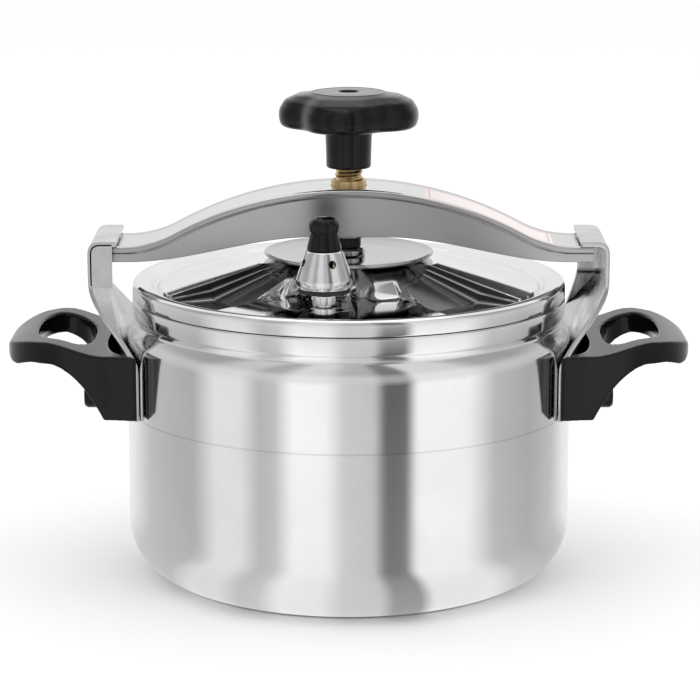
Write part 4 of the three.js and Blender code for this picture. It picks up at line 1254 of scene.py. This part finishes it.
class Handle(Piece):
    """A handle: one moulding, with a block that hugs the pot and a loop for the fingers."""

    @staticmethod
    def curve(points: Sequence, steps: int) -> np.ndarray:
        """A Bezier curve through the first and last of three or four control points.

        Args:
            points: control points.
            steps: points on the curve.

        Returns:
            The curve's points.
        """
        control = np.asarray(points, float)
        order = len(control) - 1
        t = np.linspace(0, 1, steps)[:, None]
        weights = [math.comb(order, k) * t**k * (1 - t) ** (order - k) for k in range(order + 1)]
        return sum(w * c for w, c in zip(weights, control))

    def plan(self) -> np.ndarray:
        """Outline from above: it hugs the wall, runs out straight and ends in a round nose.

        Returns:
            The outline's corners.
        """
        wing = math.radians(WING_ANGLE)
        start = POT_RADIUS + 25
        nose = self.curve(
            [
                [start, HANDLE_HALF_WIDTH], [start + 0.62 * (NOSE_X - start), 0.96 * HANDLE_HALF_WIDTH],
                [NOSE_X, 0.565 * HANDLE_HALF_WIDTH], [NOSE_X, 0],
            ],
            30,
        )
        half = np.vstack(
            [
                [POT_RADIUS * math.cos(wing) - 8, POT_RADIUS * math.sin(wing) - 4.5],
                [POT_RADIUS * math.cos(wing), POT_RADIUS * math.sin(wing)],
                [POT_RADIUS - 6.3, HANDLE_HALF_WIDTH + 2], [POT_RADIUS + 5, HANDLE_HALF_WIDTH], nose,
            ]
        )
        return np.vstack([half, (half[:-1] * [1, -1])[::-1]])

    def side(self) -> np.ndarray:
        """Outline from the side: a block, a rising loop with a drooping nose, a swept base.

        Returns:
            The outline's corners.
        """
        crown_x, under = NOSE_X - 21.7, HANDLE_CROWN - HANDLE_LOOP
        sweep = self.curve(
            [[POT_RADIUS + 8.6, HANDLE_BASE], [POT_RADIUS + 20.5, under - 3], [crown_x - 3, under]], 20
        )
        nose = rounded(
            [
                [NOSE_X - 22, under], [NOSE_X - 14, under - 0.3], [NOSE_X - 5, under - 4],
                [NOSE_X - 1.3, under - 2.6], [NOSE_X, under + 1], [NOSE_X - 1.3, under + 5],
                [NOSE_X - 6, HANDLE_CROWN - 3], [NOSE_X - 13, HANDLE_CROWN - 0.8], [crown_x, HANDLE_CROWN],
            ],
            3.0,
        )
        rise = self.curve(
            [
                [crown_x, HANDLE_CROWN], [crown_x - 12, HANDLE_CROWN], [POT_RADIUS + 20, HANDLE_TOP],
                [POT_RADIUS + 6, HANDLE_TOP],
            ],
            20,
        )
        back = [[POT_RADIUS - 25, HANDLE_TOP], [POT_RADIUS - 25, HANDLE_BASE]]
        return np.vstack([sweep, nose[1:-1], rise, back])

    def finger(self) -> np.ndarray:
        """Outline of the finger opening: an ellipse squared off a little.

        Returns:
            The outline's corners.
        """
        t = np.linspace(0, 2 * np.pi, 72, endpoint=False)
        bulge = lambda v: np.sign(v) * np.abs(v) ** 0.75
        low, high = FINGER_X
        middle, half = (low + high) / 2, (high - low) / 2
        return np.c_[middle + half * bulge(np.cos(t)), FINGER_HALF_WIDTH * bulge(np.sin(t))]

    def pocket(self) -> np.ndarray:
        """Outline of the well outside the ear."""
        t = np.linspace(0, 2 * np.pi, 56, endpoint=False)
        return np.c_[POT_RADIUS - 1 + 10 * np.cos(t), 38 * np.sin(t)]

    def shape(self) -> bpy.types.Object:
        """Carves the moulding, then gives it one soft-edged skin.

        Returns:
            The object.
        """
        made = prism(self.name, self.plan(), HANDLE_BASE - 20, HANDLE_CROWN + 20)
        carved(made, [prism("side", self.side(), -POT_RADIUS, POT_RADIUS, side=True)], "INTERSECT")
        low, high = HANDLE_BASE - 10, HANDLE_CROWN + 10
        tools = [
            prism("finger", self.finger(), low, high),
            prism("well", self.pocket(), HANDLE_TOP - 12, high),
            rod(POT_RADIUS + 3.1, low, high, 160),
        ]
        for s in (-1, 1):
            tools.append(rod(7.2, SCREW_SEAT, NOSE_X, 40, lambda p, s=s: along_x(p, s * SCREW_Y, SCREW_Z)))
        carved(made, tools)
        skin = made.modifiers.new("skin", "REMESH")
        skin.mode = "VOXEL"
        skin.voxel_size = VOXEL * METRE
        soft = made.modifiers.new("soft", "SMOOTH")
        soft.factor = 0.5
        soft.iterations = 5
        applied(made, 60)
        if self.name.startswith("handle_left"):
            place = np.empty(len(made.data.vertices) * 3)
            made.data.vertices.foreach_get("co", place)
            place = place.reshape(-1, 3) * [-1, -1, 1]
            made.data.vertices.foreach_set("co", place.ravel())
            made.data.update()
        return made


class Bell(Turned):
    """The valve's vented bell."""

    def shape(self) -> bpy.types.Object:
        """Spins the bell and cuts four vents.

        Returns:
            The object.
        """
        made = super().shape()
        tools = []
        for vent in range(VENTS):
            turn = VENT_START + 360 / VENTS * vent
            def lay(points: np.ndarray, turn: float = turn) -> np.ndarray:
                """Lays a cutter out from the valve's axis at one vent."""
                out = pointed_out(points, turn, BELL_FOOT + VENT_RISE)
                out[:, :2] += VALVE
                return out
            tools.append(rod(VENT_RADIUS, 4, BELL_RADIUS + 3, 32, lay))
        return carved(made, tools)


def round_pieces() -> list:
    """Every piece that is simply turned.

    Returns:
        The pieces, in order.
    """
    at_valve = {"at": VALVE, "steps": 72}
    lid_top = PANEL_TOP + 0.3
    dish_top = DISH_FOOT + DISH_HEIGHT
    boss_foot = DISH_FOOT + DISH_SHEET + 0.3
    under = HUB_TOP - LID_SHEET - 0.3
    made = [
        Turned("pot_body_look", Body.COOKER, POT_FINISH, profile=pot_profile(), soften=1.6, steps=256),
        Turned(
            "pressure_dish_look", Body.LID, DISH_FINISH, closed=True, steps=160, soften=0.5,
            profile=[
                [4.3, DISH_FOOT], [33.4, DISH_FOOT], [39.6, DISH_FOOT + 0.9], [DISH_RIM, dish_top - 1.2],
                [DISH_RIM, dish_top], [40.9, dish_top], [40.5, dish_top - 0.4], [39.9, dish_top - 0.1],
                [39.2, dish_top - 0.5], [37.3, dish_top - 1], [29.4, DISH_FOOT + 1.2], [4.3, DISH_FOOT + 1.2],
            ],
        ),
        Turned(
            "dish_rivet_look", Body.LID, DISH_FINISH, steps=64,
            profile=[
                [0, under - 2.5], [6, under - 2.5], [7.5, under], [4, under], [4, boss_foot],
                [8, boss_foot], [8, boss_foot + 2.4], [6.8, boss_foot + 3.6], [0, boss_foot + 3.6],
            ],
        ),
        Turned(
            "bow_bush_look", Body.BOW, BRASS_FINISH, closed=True, steps=72,
            profile=[[7.2, 185.9], [13, 185.9], [13, 189.4], [8.7, 189.4], [8.7, 197.2], [7.2, 197.2]],
        ),
        Turned(
            "foot_pad_look", Body.FOOT, RUBBER_FINISH, steps=64,
            profile=[[0, 163.7], [6, 163.7], [6, 168.5], [2.5, 168.5], [2.5, 171.2], [0, 171.2]],
        ),
        Turned(
            "foot_clip_look", Body.FOOT, STEEL_FINISH, closed=True, steps=64,
            profile=[[2.8, 168.8], [8.5, 168.8], [8.5, 174.5], [6.2, 174.5], [6.2, 171.5], [2.8, 171.5]],
        ),
        Turned(
            "knob_look", Body.SCREW, BAKELITE_FINISH, closed=True, soften=1.3, steps=224, move=lobed,
            profile=[
                [7.2, KNOB_FOOT], [11, KNOB_FOOT], [11.2, 212], [11.6, DISC_FOOT], [31.4, DISC_FOOT],
                [33.5, 224.4], [34.4, 228], [34.1, 232], [31.4, 236.4], [25.4, 239.0], [24.8, 238.8],
                [24.0, 239.1], [18.3, 240.0], [17.9, 240.35], [17.3, 240.1], [4.6, KNOB_TOP],
                [4.45, 228.5], [2.6, 228.5], [2.6, 222.0], [7.2, 222.0],
            ],
        ),
        Turned(
            "valve_stem_look", Body.LID, CHROME_FINISH, closed=True, **at_valve,
            profile=[
                [1.1, 135.3], [3.65, 135.3], [3.65, lid_top], [5.6, lid_top], [5.6, lid_top + 4.4],
                [3.65, lid_top + 4.4], [3.65, lid_top + 6.4], [2.6, lid_top + 7.4], [2.6, 161.3],
                [1.6, 162.8], [1.1, 162.8],
            ],
        ),
        Turned(
            "valve_ring_look", Body.VALVE, RUBBER_FINISH, closed=True, **at_valve,
            profile=[[8, 151.6], [12.5, 151.6], [12.5, 153.5], [8, 153.5]],
        ),
        Bell(
            "valve_bell_look", Body.VALVE, CHROME_FINISH, closed=True, **at_valve,
            profile=[
                [2.5, 170.3], [7, 170.3], [11.9, 156.8], [11.5, BELL_FOOT], [13, BELL_FOOT],
                [13.7, 155.4], [13.7, 158], [8.9, 171.2], [8.2, BELL_SHOULDER], [2.5, BELL_SHOULDER],
            ],
        ),
        Turned(
            "valve_cap_look", Body.VALVE, BAKELITE_FINISH, soften=0.8, **at_valve,
            profile=[
                [0, 178.1], [2.5, 178.1], [2.5, 172.1], [8.5, 172.1], [6.3, 180.4], [7.2, 180.9],
                [7.3, 184.8], [5.8, 186.8], [3, 187.9], [0, 188.1],
            ],
        ),
    ]
    made += fixings()
    return made


def fixings() -> list:
    """Rivets and handle screws, in fours.

    Returns:
        The pieces, in order.
    """
    rivet = [
        [0, 104.9], [4, 104.9], [5, 106.3], [2.4, 106.7], [2.4, 113.1], [5, 113.3], [4.6, 114.3],
        [3, 114.9], [0, 114.9],
    ]
    screw = [
        [0, 110.6], [3, 110.6], [3, 120.1], [6.4, 120.1], [6.4, 128.4], [5.4, 129.9], [2.6, 129.9],
        [2.4, 127.6], [0, 127.6],
    ]
    made = []
    for side, half in (("right", 0), ("left", 180)):
        turn = -1 if half else 1
        for place, s in (("front", -1), ("rear", 1)):
            angle = half + turn * s * RIVET_ANGLE
            rivet_move = lambda p, a=angle: pointed_out(p, a, RIVET_Z)
            screw_move = lambda p, k=turn, q=s: along_x(p, 0, SCREW_Z) * [k, 1, 1] + [0, q * SCREW_Y, 0]
            made.append(
                Turned(
                    f"ear_rivet_{side}_{place}_look", Body.COOKER, STEEL_FINISH, profile=rivet,
                    steps=40, move=rivet_move,
                )
            )
            made.append(
                Turned(
                    f"handle_screw_{side}_{place}_look", Body.COOKER, BAKELITE_FINISH, profile=screw,
                    steps=48, move=screw_move,
                )
            )
    return made


def other_pieces() -> list:
    """The pieces that need their own shape.

    Returns:
        The pieces, in order.
    """
    made = [
        Lid("lid_look", Body.LID, LID_FINISH),
        Bow("bow_look", Body.BOW, BOW_FINISH),
        Spindle("spindle_look", Body.SCREW, BRASS_FINISH),
    ]
    for side in ("left", "right"):
        made.append(Ear(f"ear_{side}_look", Body.COOKER, EAR_FINISH))
        made.append(Handle(f"handle_{side}_look", Body.COOKER, BAKELITE_FINISH))
    return made


def finish_kept_nodes(frame: dict, used: set) -> None:
    """Gives the frame's own small nodes that stay in view a proper finish.

    Args:
        frame: the loaded frame.
        used: names of the nodes that pieces stand for.
    """
    finishes = {"rubber": RUBBER_FINISH, "brass": BRASS_FINISH, "chrome": CHROME_FINISH}
    slots = {s["node"]: s.get("material_slot") for s in frame["record"]["subparts"]}
    for name, node in frame["nodes"].items():
        if name in used:
            continue
        finish = finishes.get(slots.get(name), STEEL_FINISH)
        node.data.materials.clear()
        node.data.materials.append(finish.material())
        shade(node, 32)


# ---------------------------------------------------------------- studio


class Studio:
    """Camera, floor and soft light."""

    RING = 200.0  # radius of the ring that reflections see, just clear of the handles

    # The ring's section: radius, height, how strongly the bars show, how far it has
    # turned to the dark of the room above. It starts as a skirt just over the floor.
    SECTION = (
        (86.0, 1.0, 0.5, 0.0), (RING, 1.0, 0.85, 0.0), (RING, 100.0, 1.0, 0.0),
        (RING, 135.0, 0.5, 0.0), (RING, 165.0, 0.45, 0.0), (RING, 212.0, 0.4, 1.0),
        (RING, 480.0, 0.4, 1.0),
    )
    PLAIN = 0.74  # brightness where the bars have faded

    # Brightness of the ring, by the place across the pot's wall at which it is reflected,
    # from -1 at the left edge of the wall to 1 at the right edge.
    ROOM = (
        (-1.0, 1.0), (-0.96, 0.92), (-0.88, 0.6), (-0.68, 0.5), (-0.58, 0.9), (-0.47, 0.88),
        (-0.39, 0.56), (-0.32, 0.62), (-0.24, 1.1), (-0.1, 1.05), (-0.02, 0.7), (0.11, 0.66),
        (0.16, 0.14), (0.25, 0.16), (0.3, 1.1), (0.52, 1.05), (0.64, 0.58), (0.8, 0.48),
        (0.9, 0.6), (0.96, 0.92), (1.0, 1.0),
    )

    def build(self) -> None:
        """Makes everything round the object."""
        self.camera()
        self.world()
        self.floor()
        self.room()
        self.lamp("key", (-0.5, -0.9, 1.5), 1.1, 3.5)
        self.lamp("fill", (0.9, -0.7, 1.1), 0.9, 1.5)
        self.lamp("back", (0.1, 1.1, 1.3), 1.2, 2.0)
        bpy.context.scene.view_settings.view_transform = "Standard"

    @staticmethod
    def camera() -> None:
        """A long lens, 12.5 degrees above the horizontal."""
        data = bpy.data.cameras.new("camera")
        data.lens, data.sensor_width = 144.5, 36.0
        data.clip_end = 50.0
        made = bpy.data.objects.new("camera", data)
        bpy.context.scene.collection.objects.link(made)
        made.location = (0.00065, -1.3668, 0.414)
        aim = Vector((0.00065, 0.0, 0.111)) - made.location
        made.rotation_euler = aim.to_track_quat("-Z", "Y").to_euler()
        bpy.context.scene.camera = made

    @staticmethod
    def world() -> None:
        """Even white light from all round."""
        world = bpy.data.worlds.new("studio")
        world.use_nodes = True
        background = world.node_tree.nodes["Background"]
        background.inputs[0].default_value = (1, 1, 1, 1)
        background.inputs[1].default_value = 1.06
        bpy.context.scene.world = world

    @staticmethod
    def plain_material(name: str, color: tuple) -> bpy.types.Material:
        """A dull plain surface, for things that aren't part of the object.

        Args:
            name: the material's name.
            color: linear base colour.

        Returns:
            The material.
        """
        made = bpy.data.materials.new(name)
        made.use_nodes = True
        shader = made.node_tree.nodes["Principled BSDF"]
        shader.inputs["Base Color"].default_value = (*color, 1)
        shader.inputs["Roughness"].default_value = 0.8
        shader.inputs["Specular IOR Level"].default_value = 0.0
        return made

    def floor(self) -> None:
        """A wide pale floor."""
        side = 9000.0
        corners = np.array([[-side, -side, 0], [side, -side, 0], [side, side, 0], [-side, side, 0]])
        made = make_mesh("floor", corners, [[0, 1, 2, 3]])
        made.data.materials.append(self.plain_material("floor", (0.93, 0.93, 0.93)))

    def room(self) -> None:
        """A ring of soft light and dark panels that only reflections see.

        A place across the wall stands for the direction in which it reflects, and so for a
        place on the ring. High up, the ring is dimmer in front and bright behind.
        """
        steps = 360
        degrees = np.linspace(-180, 180, steps, endpoint=False)
        across, level = np.array(self.ROOM, float).T
        seen = np.degrees(2 * np.arcsin(across) - np.arcsin(POT_RADIUS / self.RING * across))
        low = np.interp(degrees, seen, level)
        front = 1 - smoothstep(np.abs(degrees), 95, 125)
        high = 0.95 + (0.14 + 0.58 * low - 0.95) * front
        radius, heights, bars, dark = (column[:, None] for column in np.array(self.SECTION).T)
        levels = self.PLAIN + (low - self.PLAIN) * bars
        levels = levels + (high - levels) * dark
        turn = np.radians(degrees - 90)
        ring = np.stack(np.broadcast_arrays(radius * np.cos(turn), radius * np.sin(turn), heights), -1)
        mesh = bpy.data.meshes.new("room")
        faces = quads(len(heights), steps, False, True).tolist()
        mesh.from_pydata((ring.reshape(-1, 3) * METRE).tolist(), [], faces)
        made = bpy.data.objects.new("room", mesh)
        bpy.context.scene.collection.objects.link(made)
        layer = mesh.attributes.new("level", "FLOAT", "POINT")
        layer.data.foreach_set("value", levels.ravel().astype(np.float32))
        material = bpy.data.materials.new("room")
        material.use_nodes = True
        material.node_tree.nodes.clear()
        graph = Graph(material.node_tree)
        level = graph.add("ShaderNodeAttribute", {"attribute_name": "level"}).outputs["Fac"]
        color = graph.blend(graph.remap(level, 0.2, 0.9), (0.93, 0.905, 0.89, 1), (1.0, 1.0, 1.0, 1))
        light = graph.add("ShaderNodeEmission", Color=color, Strength=level)
        graph.add("ShaderNodeOutputMaterial", Surface=light.outputs[0])
        made.data.materials.append(material)
        for rays in ("camera", "diffuse", "transmission", "shadow"):
            setattr(made, f"visible_{rays}", False)

    @staticmethod
    def lamp(name: str, place: tuple, size: float, power: float) -> None:
        """A soft square lamp that faces the object.

        Args:
            name: the lamp's name.
            place: where it stands, in metres.
            size: its side, in metres.
            power: its power, in watts.
        """
        data = bpy.data.lights.new(name, "AREA")
        data.energy, data.size = power, size
        made = bpy.data.objects.new(name, data)
        bpy.context.scene.collection.objects.link(made)
        made.location = place
        aim = Vector((0, 0, 0.12)) - made.location
        made.rotation_euler = aim.to_track_quat("-Z", "Y").to_euler()


def main() -> None:
    """Builds the studio and every piece, in the frame."""
    logging.basicConfig(level=logging.INFO, format="%(name)s: %(message)s")
    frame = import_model()
    for make in (spun_lines_group, clouds_group, edge_wear_group):
        make()
    Studio().build()
    used = set()
    for piece in round_pieces() + other_pieces():
        made = piece.build()
        used.update(made["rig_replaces"])
    finish_kept_nodes(frame, used)


if __name__ == "__main__":
    main()
